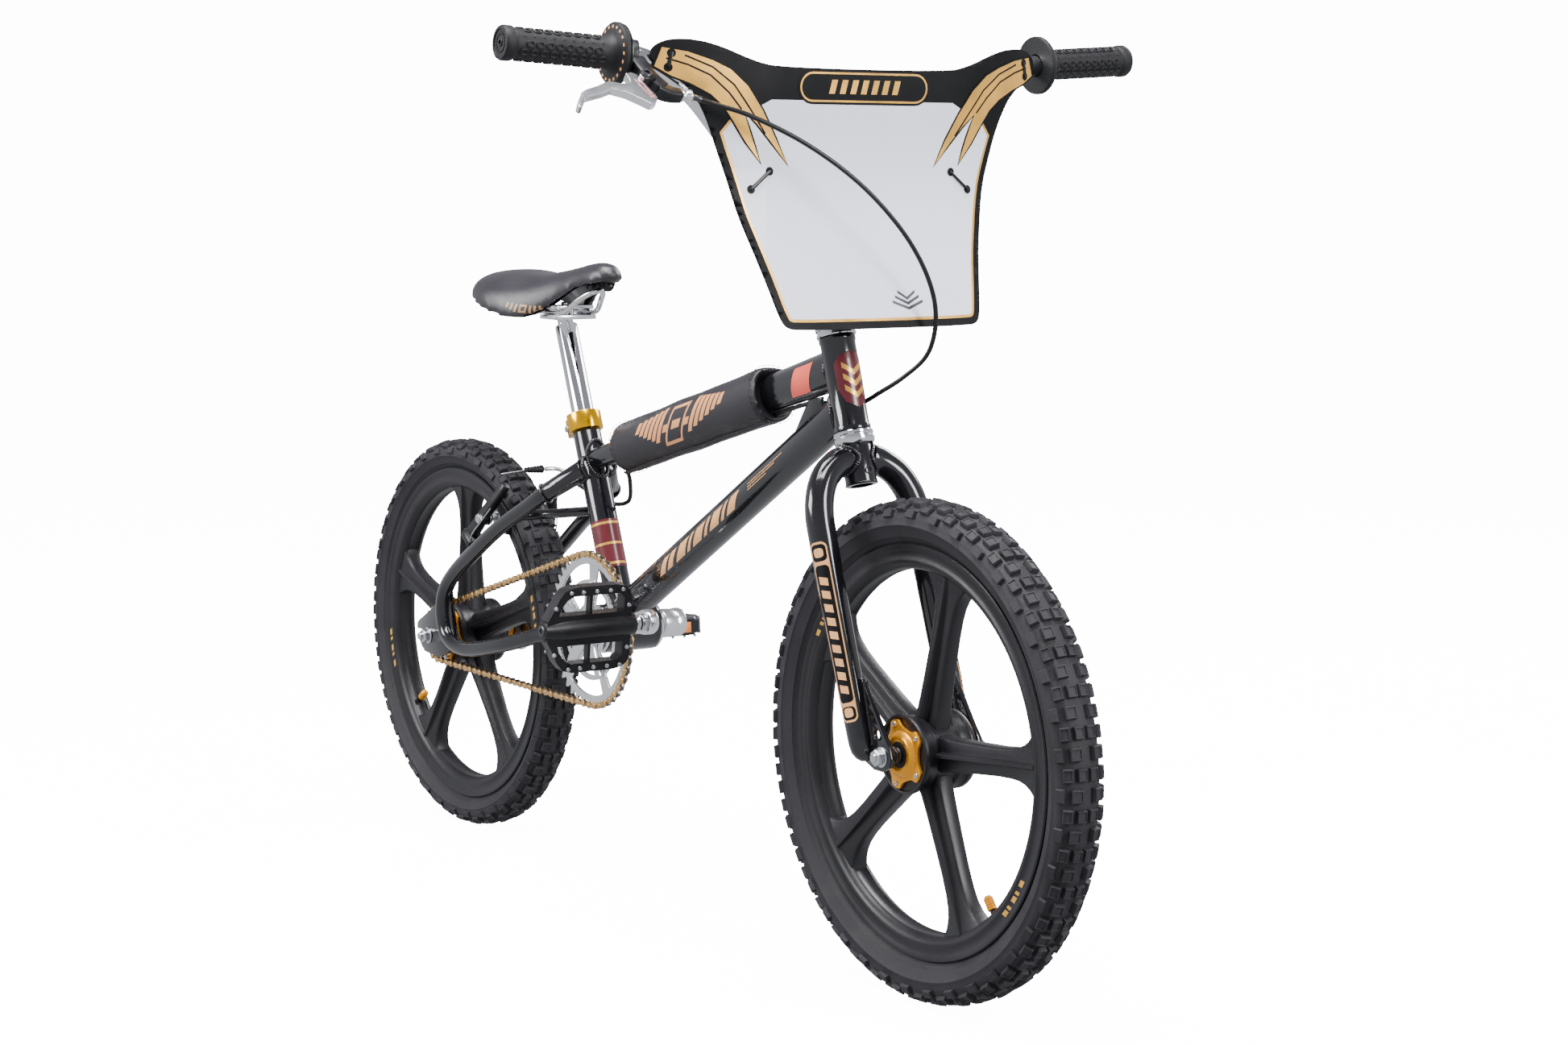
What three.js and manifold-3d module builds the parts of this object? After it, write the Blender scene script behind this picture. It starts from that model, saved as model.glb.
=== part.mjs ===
// A 20-inch BMX race bike with a looptail frame, moulded mag wheels and one rear brake.
// Millimetres. +X is forward, +Y is the rider's left, +Z is up. Inside the bike's group x is measured
// from the rear axle and z from the ground; the group stands the origin below the middle of the length.
import * as THREE from 'three';
import { mergeVertices } from 'three/addons/utils/BufferGeometryUtils.js';
import Module from 'manifold-3d';

const wasm = await Module();
wasm.setup();

const vec = (x, y, z) => new THREE.Vector3(x, y, z);
const radians = THREE.MathUtils.degToRad;
const lerp = THREE.MathUtils.lerp;

// ---- driving dimensions ----
const gap = 0.4; // between pieces that touch
const wheelbase = 987;
const frontTyre = { radius: 256, width: 52 };
const rearTyre = { radius: 247, width: 47 };
const rim = { outer: 211.6, bed: 203.8, inner: 186, width: 32 };
const hub = { cup: 42, waist: 27, half: 31, bore: 8, flange: 5 };
const axleRadius = 4.9;
const spokeCount = 5;
const spokeTurn = { front: 5, rear: 18 }; // degrees from +X
const valveTurn = { front: -52, rear: -143 };

const headAngle = radians(72.4);
const rake = 35.7;
const head = { low: 340, high: 441, radius: 18.5, bore: 16 }; // heights along the steering axis
const steererRadius = 14.3;
const legSide = 61; // fork leg from the middle plane

const bottomBracket = vec(386, 0, 304);
const shell = { radius: 28.5, bore: 25.8, half: 34 };
const seatAngle = radians(68.5);
const seatTube = { radius: 16.7, bore: 14.2, top: 255 }; // top is a height along the seat tube
const post = { radius: 13.5, low: 135, high: 384 };
const topTube = { rearHeight: 13.3, frontHeight: 21.6, side: 13 };
const downTube = { height: 20.5, side: 17 };
const loop = { radius: 9.5, sleeve: 12.5 };

const crank = { length: 175, turn: 11.2, inner: 64, outer: 77 }; // degrees above +X
const chain = { side: -46, half: 4, pitchRing: 89, pitchCog: 32.6, thick: 4.2 };
const pedal = { inner: 98, outer: 203, length: 96, height: 20 };
const pedalTurn = { right: 84, left: 4 }; // degrees that each platform is turned from level

const barRadius = 11.1;
const plateThickness = 2.5;
const cableRadius = 2.5;

// ---- reference places ----
const rearAxle = vec(0, 0, rearTyre.radius);
const frontAxle = vec(wheelbase, 0, frontTyre.radius);
const overallMiddle = (wheelbase + frontTyre.radius - rearTyre.radius) / 2;
const steerUp = vec(-Math.cos(headAngle), 0, Math.sin(headAngle));
const steerForward = vec(Math.sin(headAngle), 0, Math.cos(headAngle));
const steerFoot = frontAxle.clone().addScaledVector(steerForward, -rake);
const seatUp = vec(-Math.cos(seatAngle), 0, Math.sin(seatAngle));

const onSteerer = (height, forward = 0, side = 0) =>
  steerFoot
    .clone()
    .addScaledVector(steerUp, height)
    .addScaledVector(steerForward, forward)
    .add(vec(0, side, 0));
const onSeatTube = (height) => bottomBracket.clone().addScaledVector(seatUp, height);

// Centre lines of the two main tubes, as heights over x.
const topTubeZ = (x) => 616.8 + 0.2734 * (x - 763);
const downTubeZ = (x) => 547 + 0.6 * (x - 763);
const topTubeHalf = (x) => lerp(topTube.rearHeight, topTube.frontHeight, (x - 368) / (785 - 368));

// ---- materials ----
const finish = (color, roughness, metalness) =>
  new THREE.MeshStandardMaterial({ color, roughness, metalness });
const glossBlack = finish(0x0b0b0d, 0.15, 0.1);
const mattBlack = finish(0x17171a, 0.6, 0);
const rubber = finish(0x1c1c1e, 0.85, 0);
const nylon = finish(0x161618, 0.55, 0);
const chrome = finish(0xd8dadd, 0.12, 1);
const silver = finish(0xb9bbbe, 0.35, 1);
const gold = finish(0xd9901c, 0.3, 1);
const paleGold = finish(0xc9a063, 0.35, 1);
const vinyl = finish(0x202024, 0.7, 0);
const plastic = finish(0x111113, 0.3, 0);

// ---- solids ----
function signedVolume(geometry) {
  const p = geometry.attributes.position;
  const corner = [vec(0, 0, 0), vec(0, 0, 0), vec(0, 0, 0)];
  let total = 0;
  for (let i = 0; i < geometry.index.count; i += 3) {
    corner.forEach((c, k) => c.fromBufferAttribute(p, geometry.index.getX(i + k)));
    total += corner[0].dot(corner[1].cross(corner[2])) / 6;
  }
  return total;
}

// One closed surface with shared corners and its faces pointing out.
function closed(geometry) {
  const bare = geometry.clone();
  bare.deleteAttribute('normal');
  bare.deleteAttribute('uv');
  const merged = mergeVertices(bare, 1e-3);
  if (signedVolume(merged) < 0) {
    const turned = Array.from(merged.index.array);
    for (let i = 0; i < turned.length; i += 3) {
      [turned[i + 1], turned[i + 2]] = [turned[i + 2], turned[i + 1]];
    }
    merged.setIndex(turned);
  }
  return merged;
}

function toSolid(geometry) {
  const merged = closed(geometry);
  return new wasm.Manifold(
    new wasm.Mesh({
      numProp: 3,
      vertProperties: merged.attributes.position.array,
      triVerts: new Uint32Array(merged.index.array),
    }),
  );
}

function fromSolid(solid) {
  const mesh = solid.getMesh();
  return new THREE.BufferGeometry()
    .setAttribute('position', new THREE.BufferAttribute(mesh.vertProperties, 3))
    .setIndex(new THREE.BufferAttribute(mesh.triVerts, 1));
}

const join = (...pieces) => fromSolid(pieces.map(toSolid).reduce((a, b) => a.add(b)));
const cut = (piece, ...tools) =>
  fromSolid(tools.map(toSolid).reduce((a, b) => a.subtract(b), toSolid(piece)));
const mirrored = (geometry) => geometry.clone().scale(1, -1, 1);

// Moves each corner of a geometry to where the function says.
function reshape(geometry, where) {
  const p = geometry.attributes.position;
  for (let i = 0; i < p.count; i++) {
    const q = where(p.getX(i), p.getY(i), p.getZ(i));
    p.setXYZ(i, q.x, q.y, q.z);
  }
  return geometry;
}

// Lays a geometry made along +Y between two points, its local z as near to +Y of the bike as it can be.
function between(from, to, geometry) {
  const along = to.clone().sub(from).normalize();
  const side = Math.abs(along.y) > 0.9 ? vec(0, 0, 1) : vec(0, 1, 0);
  side.addScaledVector(along, -side.dot(along)).normalize();
  const turn = new THREE.Matrix4().makeBasis(along.clone().cross(side), along, side);
  turn.setPosition(from.clone().add(to).multiplyScalar(0.5));
  return geometry.clone().applyMatrix4(turn);
}

const rod = (from, to, radius, endRadius = radius, sides = 12) =>
  between(from, to, new THREE.CylinderGeometry(endRadius, radius, from.distanceTo(to), sides));

function tube(from, to, radius, bore, sides = 16) {
  const half = from.distanceTo(to) / 2;
  const outline = [
    [bore, -half],
    [radius, -half],
    [radius, half],
    [bore, half],
    [bore, -half],
  ];
  return between(from, to, lathe(outline, sides));
}

const lathe = (outline, sides) =>
  new THREE.LatheGeometry(outline.map(([r, h]) => new THREE.Vector2(r, h)), sides);

function polygon(sides, radius) {
  const corners = Array.from({ length: sides }, (_, i) => {
    const a = (2 * Math.PI * i) / sides;
    return new THREE.Vector2(radius * Math.cos(a), radius * Math.sin(a));
  });
  return new THREE.Shape(corners);
}

function sweep(points, radius, sides, steps) {
  const path = new THREE.CatmullRomCurve3(points, false, 'centripetal');
  const options = { steps, bevelEnabled: false, extrudePath: path };
  return new THREE.ExtrudeGeometry(polygon(sides, radius), options);
}

const block = (centre, x, y, z) =>
  new THREE.BoxGeometry(x, y, z).translate(centre.x, centre.y, centre.z);

// Extrudes an outline given in x and z across the bike, from one y to another.
function slab(outline, y0, y1, holes = []) {
  const shape = outline instanceof THREE.Shape ? outline : new THREE.Shape(outline);
  shape.holes.push(...holes);
  const options = { depth: Math.abs(y1 - y0), bevelEnabled: false, curveSegments: 7 };
  return new THREE.ExtrudeGeometry(shape, options)
    .rotateX(Math.PI / 2)
    .translate(0, Math.max(y0, y1), 0);
}

const flat = (pairs) => pairs.map(([x, z]) => new THREE.Vector2(x, z));

// The value at a place on the straight lines through pairs of place and value.
function through(pairs, place) {
  const next = Math.max(1, pairs.findIndex(([at]) => at >= place));
  const [x0, y0] = pairs[next - 1];
  const [x1, y1] = pairs[next];
  return lerp(y0, y1, (place - x0) / (x1 - x0));
}

// ---- the group ----
const bike = new THREE.Group();
bike.position.x = -overallMiddle;

function add(name, geometry, material, parent = bike) {
  const mesh = new THREE.Mesh(closed(geometry), material);
  mesh.name = name;
  parent.add(mesh);
  return mesh;
}

function groupAt(place) {
  const group = new THREE.Group();
  group.position.copy(place);
  bike.add(group);
  return group;
}

// ---- frame ----
const headOutside = rod(onSteerer(200), onSteerer(600), head.radius + gap, head.radius + gap, 16);
const shellOutside = rod(
  bottomBracket.clone().setY(-60),
  bottomBracket.clone().setY(60),
  shell.radius + gap,
  shell.radius + gap,
  20,
);
const seatOutside = rod(onSeatTube(-60), onSeatTube(400), seatTube.radius + gap, seatTube.radius + gap, 16);

function ovalTube(from, to, fromHalf, toHalf, side) {
  const length = from.distanceTo(to);
  const plain = new THREE.CylinderGeometry(1, 1, length, 16, 1);
  const oval = reshape(plain, (x, y, z) => {
    const tall = lerp(fromHalf, toHalf, y / length + 0.5);
    return vec(x * tall, y, z * side);
  });
  return between(from, to, oval);
}

function mainTubes() {
  add('head_tube', tube(onSteerer(head.low), onSteerer(head.high), head.radius, head.bore, 16), glossBlack);
  const topRear = vec(306, 0, topTubeZ(306));
  const topFront = vec(836, 0, topTubeZ(836));
  const top = ovalTube(topRear, topFront, topTubeHalf(306), topTubeHalf(836), topTube.side);
  add('top_tube', cut(top, headOutside, seatOutside), glossBlack);
  const downRear = vec(392, 0, downTubeZ(392));
  const downFront = vec(842, 0, downTubeZ(842));
  const down = ovalTube(downRear, downFront, downTube.height, downTube.height, downTube.side);
  add('down_tube', cut(down, headOutside, shellOutside, seatOutside), glossBlack);
  const seat = tube(onSeatTube(10), onSeatTube(seatTube.top), seatTube.radius, seatTube.bore, 16);
  add('seat_tube', cut(seat, shellOutside), glossBlack);
  const shellEnds = [bottomBracket.clone().setY(-shell.half), bottomBracket.clone().setY(shell.half)];
  add('bottom_bracket_shell', tube(...shellEnds, shell.radius, shell.bore, 20), glossBlack);
}

// The brake pivots stand on radial lines from the rear axle.
const brakeAngle = radians(52.3);
const outward = vec(Math.cos(brakeAngle), 0, Math.sin(brakeAngle));
const backward = vec(-Math.sin(brakeAngle), 0, Math.cos(brakeAngle));
const onBrakeLine = (radius, side, back = 0) =>
  rearAxle.clone().addScaledVector(outward, radius).addScaledVector(backward, back).setY(side);
const pivotRadius = 170;
const pivotSide = 54;
const padRadius = 204;

const loopRoute = [
  [311, 20, 479],
  [280, 44, 455],
  [237, 52, 431],
  [186, 58, 404],
  [131, 62, 370],
  [79, 63, 337],
  [52, 63, 312],
  [44, 63, 286],
  [52, 63, 259],
  [74, 63, 246],
  [109, 62, 244],
  [184, 56, 259],
  [230, 46, 272],
  [265, 37, 282],
  [305, 30, 291],
  [350, 24, 300],
];

function loopStay() {
  const route = loopRoute.map(([x, y, z]) => vec(x, y, z));
  const bent = sweep(route, loop.radius, 8, 24);
  const sleeve = rod(vec(318, 14.5, 484.5), vec(276, 45, 453), loop.sleeve, loop.sleeve, 10);
  const plate = slab(
    flat([
      [58, 312],
      [10, 283],
      [-31, 260],
      [-31, 244],
      [-18, 230],
      [27, 222],
      [74, 244],
      [64, 280],
    ]),
    55.5,
    61.5,
  );
  const slot = block(vec(-20, 58, rearAxle.z), 52, 20, 2 * axleRadius + 2 * gap);
  const bossFoot = onBrakeLine(pivotRadius, pivotSide, -27);
  const bossTip = onBrakeLine(pivotRadius, pivotSide, -12.6);
  const boss = rod(bossFoot, bossTip, 6, 5, 12);
  return cut(join(bent, sleeve, plate, boss), slot, seatOutside, shellOutside);
}

function rearTriangle() {
  const stay = loopStay();
  add('loop_stay_left', stay, glossBlack);
  add('loop_stay_right', mirrored(stay), glossBlack);
  add('brake_bridge', rod(vec(219, -44.5, 421), vec(219, 44.5, 421), 6), glossBlack);
}

function topTubePad() {
  const rear = vec(395, 0, topTubeZ(395) - 1);
  const front = vec(706, 0, topTubeZ(706) - 1);
  const outside = ovalTube(rear, front, 30, 31.5, 29);
  const spare = 9; // room for the tube above and the brake cable below
  const boreRear = vec(370, 0, topTubeZ(370) - spare / 2 + 0.4);
  const boreFront = vec(724, 0, topTubeZ(724) - spare / 2 + 0.4);
  const bore = ovalTube(
    boreRear,
    boreFront,
    topTubeHalf(370) + spare / 2 + 0.6,
    topTubeHalf(724) + spare / 2 + 0.6,
    topTube.side + 2.4,
  );
  return cut(outside, bore);
}

function seatClamp() {
  const low = onSeatTube(241);
  const high = onSeatTube(263);
  const ring = rod(low, high, 20.5, 20.5, 18);
  const ear = block(onSeatTube(252).add(vec(-24, 0, -9)), 14, 16, 16);
  const inside = rod(onSeatTube(230), onSeatTube(seatTube.top + gap), seatTube.radius + gap, undefined, 18);
  const above = rod(onSeatTube(250), onSeatTube(280), post.radius + 0.8, undefined, 18);
  return cut(join(ring, ear), inside, above);
}

// ---- headset, fork and steering parts ----
function headset() {
  add('headset_cup_lower', tube(onSteerer(326), onSteerer(head.low - gap), 20.5, 15, 16), chrome);
  add('headset_cup_upper', tube(onSteerer(head.high + gap), onSteerer(454), 20.5, 15, 16), chrome);
  add('headset_locknut', tube(onSteerer(454 + gap), onSteerer(461.6), 18, 14.3 + gap, 16), chrome);
  add('steerer_tube', tube(onSteerer(283), onSteerer(503), steererRadius, 12, 16), glossBlack);
}

function forkLeg() {
  const shoulder = [
    [312, 0, 14],
    [307, 0, 28],
    [292, 1, 46],
    [268, 2, 57.5],
    [240, 2.5, legSide],
    [12, 9.5, legSide],
  ];
  const route = shoulder.map(([height, forward, side]) => onSteerer(height, forward, side));
  const straight = sweep(route, 15, 10, 12);
  const low = onSteerer(12).z;
  const high = onSteerer(240).z;
  const leg = reshape(straight, (x, y, z) => {
    const narrow = lerp(0.86, 1, THREE.MathUtils.clamp((z - low) / (high - low), 0, 1));
    const height = (z - steerFoot.z) / Math.sin(headAngle);
    const axis = onSteerer(height, 5, legSide);
    return y > 46 ? vec(axis.x + (x - axis.x) * narrow, legSide + (y - legSide) * narrow, z) : vec(x, y, z);
  });
  const plate = slab(
    flat([
      [940, 330],
      [952, 330],
      [990, 279],
      [1002, 264],
      [1002, 249],
      [990, 241],
      [958, 247],
      [944, 300],
    ]),
    53,
    58,
  );
  const axleHole = rod(frontAxle.clone().setY(40), frontAxle.clone().setY(80), axleRadius + gap, undefined, 20);
  const steererOutside = rod(onSteerer(200), onSteerer(400), steererRadius + gap, undefined, 16);
  return cut(join(leg, plate), axleHole, steererOutside);
}

const barRoute = [
  [850, 0, 721],
  [850, 24, 721],
  [850, 45, 730],
  [849, 62, 751],
  [845, 124, 828],
  [841, 180, 897],
  [837, 201, 921],
  [829, 222, 939],
  [821, 243, 948],
  [814, 264, 951.2],
  [813, 290, 952.8],
  [811, 342, 956.1],
  [809.4, 384, 958.7],
];
const gripStart = vec(814, 264, 951.2);
const gripEnd = vec(809.2, 389, 959);

function handlebar() {
  const half = barRoute.map(([x, y, z]) => vec(x, y, z));
  const other = half.slice(1).map((p) => vec(p.x, -p.y, p.z));
  const bar = sweep([...other.reverse(), ...half], barRadius, 8, 40);
  const crossbar = rod(vec(842, -164, 880), vec(842, 164, 880), 8, undefined, 8);
  return join(bar, crossbar);
}

const barClamp = { height: 484.7, forward: 45.7 };

function stem() {
  const body = rod(onSteerer(462), onSteerer(502.6), 20, undefined, 16);
  const arm = between(
    onSteerer(482, 8),
    onSteerer(barClamp.height, barClamp.forward),
    new THREE.BoxGeometry(30, 38, 34),
  );
  const clampAxis = (side) => onSteerer(barClamp.height, barClamp.forward, side);
  const clamp = rod(clampAxis(-22), clampAxis(22), 18.5, undefined, 16);
  const steererHole = rod(onSteerer(400), onSteerer(503.2), steererRadius + gap, undefined, 16);
  const barHole = rod(clampAxis(-40), clampAxis(40), barRadius + 1, undefined, 16);
  return cut(join(body, arm, clamp), steererHole, barHole);
}

function grip() {
  const along = gripEnd.clone().sub(gripStart).normalize();
  const length = gripEnd.distanceTo(gripStart);
  const inner = barRadius + 1.1;
  const outline = [
    [inner, -3],
    [31, -3],
    [31, 3],
    [20, 4.5],
    [16.5, 9],
    [16.5, length - 4],
    [13, length],
    [0, length],
    [0, length - 3],
    [inner, length - 3],
    [inner, -3],
  ];
  const centred = outline.map(([r, h]) => [r, h - length / 2]);
  return between(gripStart, gripStart.clone().addScaledVector(along, length), lathe(centred, 16));
}

// The number plate's lower and upper edges, as heights over the distance from the middle.
const plateLow = [
  [0, 679],
  [106, 679],
  [119, 682],
  [124.5, 692],
  [132, 725],
  [140, 757],
  [150, 790],
  [158, 824],
  [170, 858],
  [182, 891],
  [200, 920],
  [227, 935],
  [238, 945],
];
const plateHigh = [
  [0, 940],
  [104, 940],
  [134, 946],
  [170, 960],
  [196, 966],
  [222, 966],
  [238, 957],
];
const plateLean = [
  [679, 905],
  [720, 891],
  [760, 876.5],
  [800, 865],
  [830, 861],
  [870, 860.5],
  [920, 865],
  [966, 866],
];
const plateColumns = [0, 40, 80, 106, 119, 124.5, 132, 150, 170, 190, 204, 222, 238];
const plateRows = 6;

function numberPlate() {
  const columns = plateColumns.length - 1;
  const sheet = new THREE.BoxGeometry(1, 2, 1, 1, 2 * columns, plateRows);
  return reshape(sheet, (u, v, w) => {
    const column = plateColumns[Math.round(Math.abs(v) * columns)];
    const z = lerp(through(plateLow, column), through(plateHigh, column), w + 0.5);
    const wrap = 0.0014 * Math.max(0, column - 100) ** 2;
    return vec(through(plateLean, z) - wrap + u * plateThickness, Math.sign(v) * column, z);
  });
}

const leverPivot = vec(857, -256, 924);
const leverAxis = vec(-0.61, 0, -0.79).normalize();

function leverBracket() {
  const clampMiddle = vec(818.6, -249.5, 949.3);
  const barWay = vec(-7, 21, 3.2).normalize().multiply(vec(1, -1, 1));
  const clampEnd = (side) => clampMiddle.clone().addScaledVector(barWay, side);
  const ring = rod(clampEnd(-6), clampEnd(6), 16.5, undefined, 12);
  const arm = rod(vec(829, -247, 940), vec(856, -240, 922), 7, 6, 8);
  const body = rod(vec(857, -246, 922), vec(858, -222, 911), 8, 6, 8);
  const barrel = rod(vec(858, -224, 911), vec(862, -203, 909), 4.5, undefined, 8);
  const hole = rod(clampEnd(-22), clampEnd(22), barRadius + 2.4, undefined, 12);
  return cut(join(ring, arm, body, barrel), hole);
}

function leverBlade() {
  const route = [vec(857, -256, 924), vec(862, -284, 919), vec(865, -304, 909), vec(862, -334, 896)];
  const blade = sweep(route, 4.5, 8, 8);
  const eye = rod(
    leverPivot.clone().addScaledVector(leverAxis, -7),
    leverPivot.clone().addScaledVector(leverAxis, 7),
    7,
    undefined,
    16,
  );
  return join(blade, eye);
}

// ---- wheels, each around its own axle ----
function tyre({ radius, width }) {
  const half = width / 2;
  const base = rim.outer + 0.6;
  const tall = radius - base;
  const outside = [
    [204.3, 8.5],
    [211.4, 12.8],
    [base + 0.17 * tall, 0.85 * half],
    [base + 0.5 * tall, half],
    [base + 0.88 * tall, 0.76 * half],
    [radius, 0.2 * half],
  ];
  const inside = [
    [radius - 5, 0],
    [base + 0.5 * tall, half - 5],
    [211.4, 8.5],
  ];
  const other = (pairs) => pairs.map(([r, y]) => [r, -y]).reverse();
  const rightInside = other(inside.slice(1));
  const outline = [...outside, ...other(outside), ...rightInside, ...inside, outside[0]];
  return lathe(outline, 28);
}

function magWheel(firstSpoke) {
  const side = rim.width / 2;
  const ring = lathe(
    [
      [rim.inner, -11],
      [rim.inner, 11],
      [192, side],
      [rim.outer, side],
      [rim.outer, side - 2],
      [rim.bed, 12],
      [rim.bed, -12],
      [rim.outer, 2 - side],
      [rim.outer, -side],
      [192, -side],
      [rim.inner, -11],
    ],
    28,
  );
  const core = lathe(
    [
      [hub.bore, -hub.half],
      [hub.cup, -hub.half],
      [hub.cup, -24],
      [hub.waist, -12],
      [hub.waist, 12],
      [hub.cup, 24],
      [hub.cup, hub.half],
      [hub.bore, hub.half],
      [hub.bore, -hub.half],
    ],
    16,
  );
  const spokeOutline = [
    [20, 19],
    [50, 16.5],
    [125, 14.5],
    [158, 17],
    [190, 36],
  ];
  const shape = [...spokeOutline, ...spokeOutline.map(([r, w]) => [r, -w]).reverse()];
  const spokes = Array.from({ length: spokeCount }, (_, i) =>
    slab(flat(shape), -10, 10).rotateY(-radians(firstSpoke + (360 / spokeCount) * i)),
  );
  const bore = rod(vec(0, -50, 0), vec(0, 50, 0), hub.bore, undefined, 16);
  return cut(join(ring, core, ...spokes), bore);
}

function wheel(name, axle, size) {
  const group = groupAt(axle);
  add(`${name}_tyre`, tyre(size), rubber, group);
  add(`${name}_wheel`, magWheel(spokeTurn[name]), nylon, group);
  for (const [side, way] of [
    ['left', 1],
    ['right', -1],
  ]) {
    const start = vec(0, way * (hub.half + gap), 0);
    const end = vec(0, way * (hub.half + gap + hub.flange), 0);
    add(`${name}_hub_flange_${side}`, tube(start, end, 38, hub.bore, 16), gold, group);
  }
  const valve = rod(vec(rim.inner - 2, 0, 0), vec(162, 0, 0), 4, 3.4, 12);
  add(`${name}_valve`, valve.rotateY(-radians(valveTurn[name])), gold, group);
}

function axleSet(name, axle, half, nutInner) {
  const end = (side) => axle.clone().setY(side);
  add(`${name}_axle`, rod(end(-half), end(half), axleRadius, undefined, 16), silver);
  for (const [side, way] of [
    ['left', 1],
    ['right', -1],
  ]) {
    const nut = tube(end(way * nutInner), end(way * (nutInner + 8)), 8.6, 6.2, 6);
    add(`${name}_axle_nut_${side}`, nut, silver);
  }
}

// ---- drive ----
function crankArm(spider) {
  const { length, inner, outer } = crank;
  const bossRadius = 17;
  const eyeRadius = 14;
  const outline = new THREE.Shape();
  outline.absarc(0, 0, bossRadius, Math.PI / 2, (3 * Math.PI) / 2, false);
  outline.absarc(length, 0, eyeRadius, -Math.PI / 2, Math.PI / 2, false);
  const arm = slab(outline, inner, outer);
  const boss = rod(vec(0, 48.4, 0), vec(0, inner + 1, 0), bossRadius, undefined, 16);
  const pieces = [arm, boss];
  if (spider) pieces.push(rod(vec(0, 48.4, 0), vec(0, 52, 0), 32, undefined, 20));
  const spindleHole = rod(vec(0, 30, 0), vec(0, 70, 0), 9.2, undefined, 12);
  const eyeHole = rod(vec(length, 50, 0), vec(length, 90, 0), 7.8, undefined, 12);
  return cut(join(...pieces), spindleHole, eyeHole);
}

function pedalAxle() {
  const outline = [
    [0, 65],
    [7, 65],
    [7, crank.outer + gap],
    [9.5, crank.outer + gap],
    [9.5, 84],
    [5.6, 84],
    [5.6, 188],
    [0, 188],
  ];
  return lathe(outline, 12);
}

function pedalBody() {
  const halfLength = pedal.length / 2;
  const middle = (pedal.inner + pedal.outer) / 2;
  const halfWide = (pedal.outer - pedal.inner) / 2;
  const half = pedal.height / 2;
  const outline = new THREE.Shape(
    flat([
      [-halfLength + 12, -halfWide],
      [halfLength - 12, -halfWide],
      [halfLength, -halfWide + 18],
      [halfLength, halfWide - 18],
      [halfLength - 12, halfWide],
      [-halfLength + 12, halfWide],
      [-halfLength, halfWide - 18],
      [-halfLength, -halfWide + 18],
    ]),
  );
  for (const way of [1, -1]) {
    const window = new THREE.Path();
    window.moveTo(way * 15, -halfWide + 14);
    window.lineTo(way * (halfLength - 12), -halfWide + 18);
    window.lineTo(way * (halfLength - 12), halfWide - 18);
    window.lineTo(way * 15, halfWide - 14);
    outline.holes.push(window);
  }
  const platform = new THREE.ExtrudeGeometry(outline, { depth: pedal.height, bevelEnabled: false });
  platform.translate(0, middle, -half);
  const barrel = rod(vec(0, pedal.inner - 4, 0), vec(0, pedal.outer - 2, 0), 13, undefined, 16);
  const bore = rod(vec(0, 80, 0), vec(0, 190, 0), 6.2, undefined, 16);
  return cut(join(platform, barrel), bore);
}

function cranks() {
  const ends = [bottomBracket.clone().setY(-69), bottomBracket.clone().setY(69)];
  add('bottom_bracket_spindle', rod(...ends, 8.5, undefined, 20), silver);
  for (const [side, way, turn] of [
    ['right', -1, crank.turn],
    ['left', 1, crank.turn + 180],
  ]) {
    const group = groupAt(bottomBracket);
    group.rotation.y = -radians(turn);
    const sided = (geometry) => (way < 0 ? mirrored(geometry) : geometry);
    add(`crank_arm_${side}`, sided(crankArm(side === 'right')), silver, group);
    const eye = new THREE.Group();
    eye.position.x = crank.length;
    eye.rotation.y = -radians(pedalTurn[side] - turn);
    group.add(eye);
    add(`pedal_axle_${side}`, sided(pedalAxle()), silver, eye);
    add(`pedal_${side}`, sided(pedalBody()), mattBlack, eye);
    const cup = lathe(
      [
        [9.2, 20],
        [25.4, 20],
        [25.4, shell.half + gap],
        [28, shell.half + gap],
        [28, 38],
        [9.2, 38],
        [9.2, 20],
      ],
      20,
    );
    const cupGroup = groupAt(bottomBracket);
    add(`bottom_bracket_cup_${side}`, sided(cup), chrome, cupGroup);
  }
}

function chainring() {
  const outline = new THREE.Shape().absarc(0, 0, chain.pitchRing - chain.thick - 1.2, 0, 2 * Math.PI, false);
  const middle = new THREE.Path().absarc(0, 0, 20, 0, 2 * Math.PI, true);
  outline.holes.push(middle);
  for (let i = 0; i < 5; i++) {
    const a = radians(36 + 72 * i);
    const slot = new THREE.Path().absarc(54 * Math.cos(a), 54 * Math.sin(a), 13, 0, 2 * Math.PI, true);
    outline.holes.push(slot);
  }
  const options = { depth: 3, bevelEnabled: false, curveSegments: 6 };
  const disc = new THREE.ExtrudeGeometry(outline, options).rotateX(Math.PI / 2);
  return disc.translate(bottomBracket.x, chain.side + 1.5, bottomBracket.z);
}

function freewheel() {
  const radius = chain.pitchCog - chain.thick - 0.6;
  const outline = [
    [8, 37],
    [19, 37],
    [19, 44.5],
    [radius, 44.5],
    [radius, 47.5],
    [19, 47.5],
    [19, 51],
    [8, 51],
    [8, 37],
  ];
  return mirrored(lathe(outline, 20)).translate(rearAxle.x, 0, rearAxle.z);
}

// A belt round the chainring and the cog: two arcs and the straight runs between them.
function beltOutline(offset, Kind) {
  const ring = chain.pitchRing + offset;
  const cog = chain.pitchCog + offset;
  const span = bottomBracket.clone().sub(rearAxle);
  const lean = Math.atan2(span.z, span.x);
  const leave = Math.acos((cog - ring) / span.length());
  const path = new Kind();
  path.absarc(bottomBracket.x, bottomBracket.z, ring, lean - leave, lean + leave, false);
  path.absarc(rearAxle.x, rearAxle.z, cog, lean + leave, lean - leave + 2 * Math.PI, false);
  return path;
}

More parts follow.
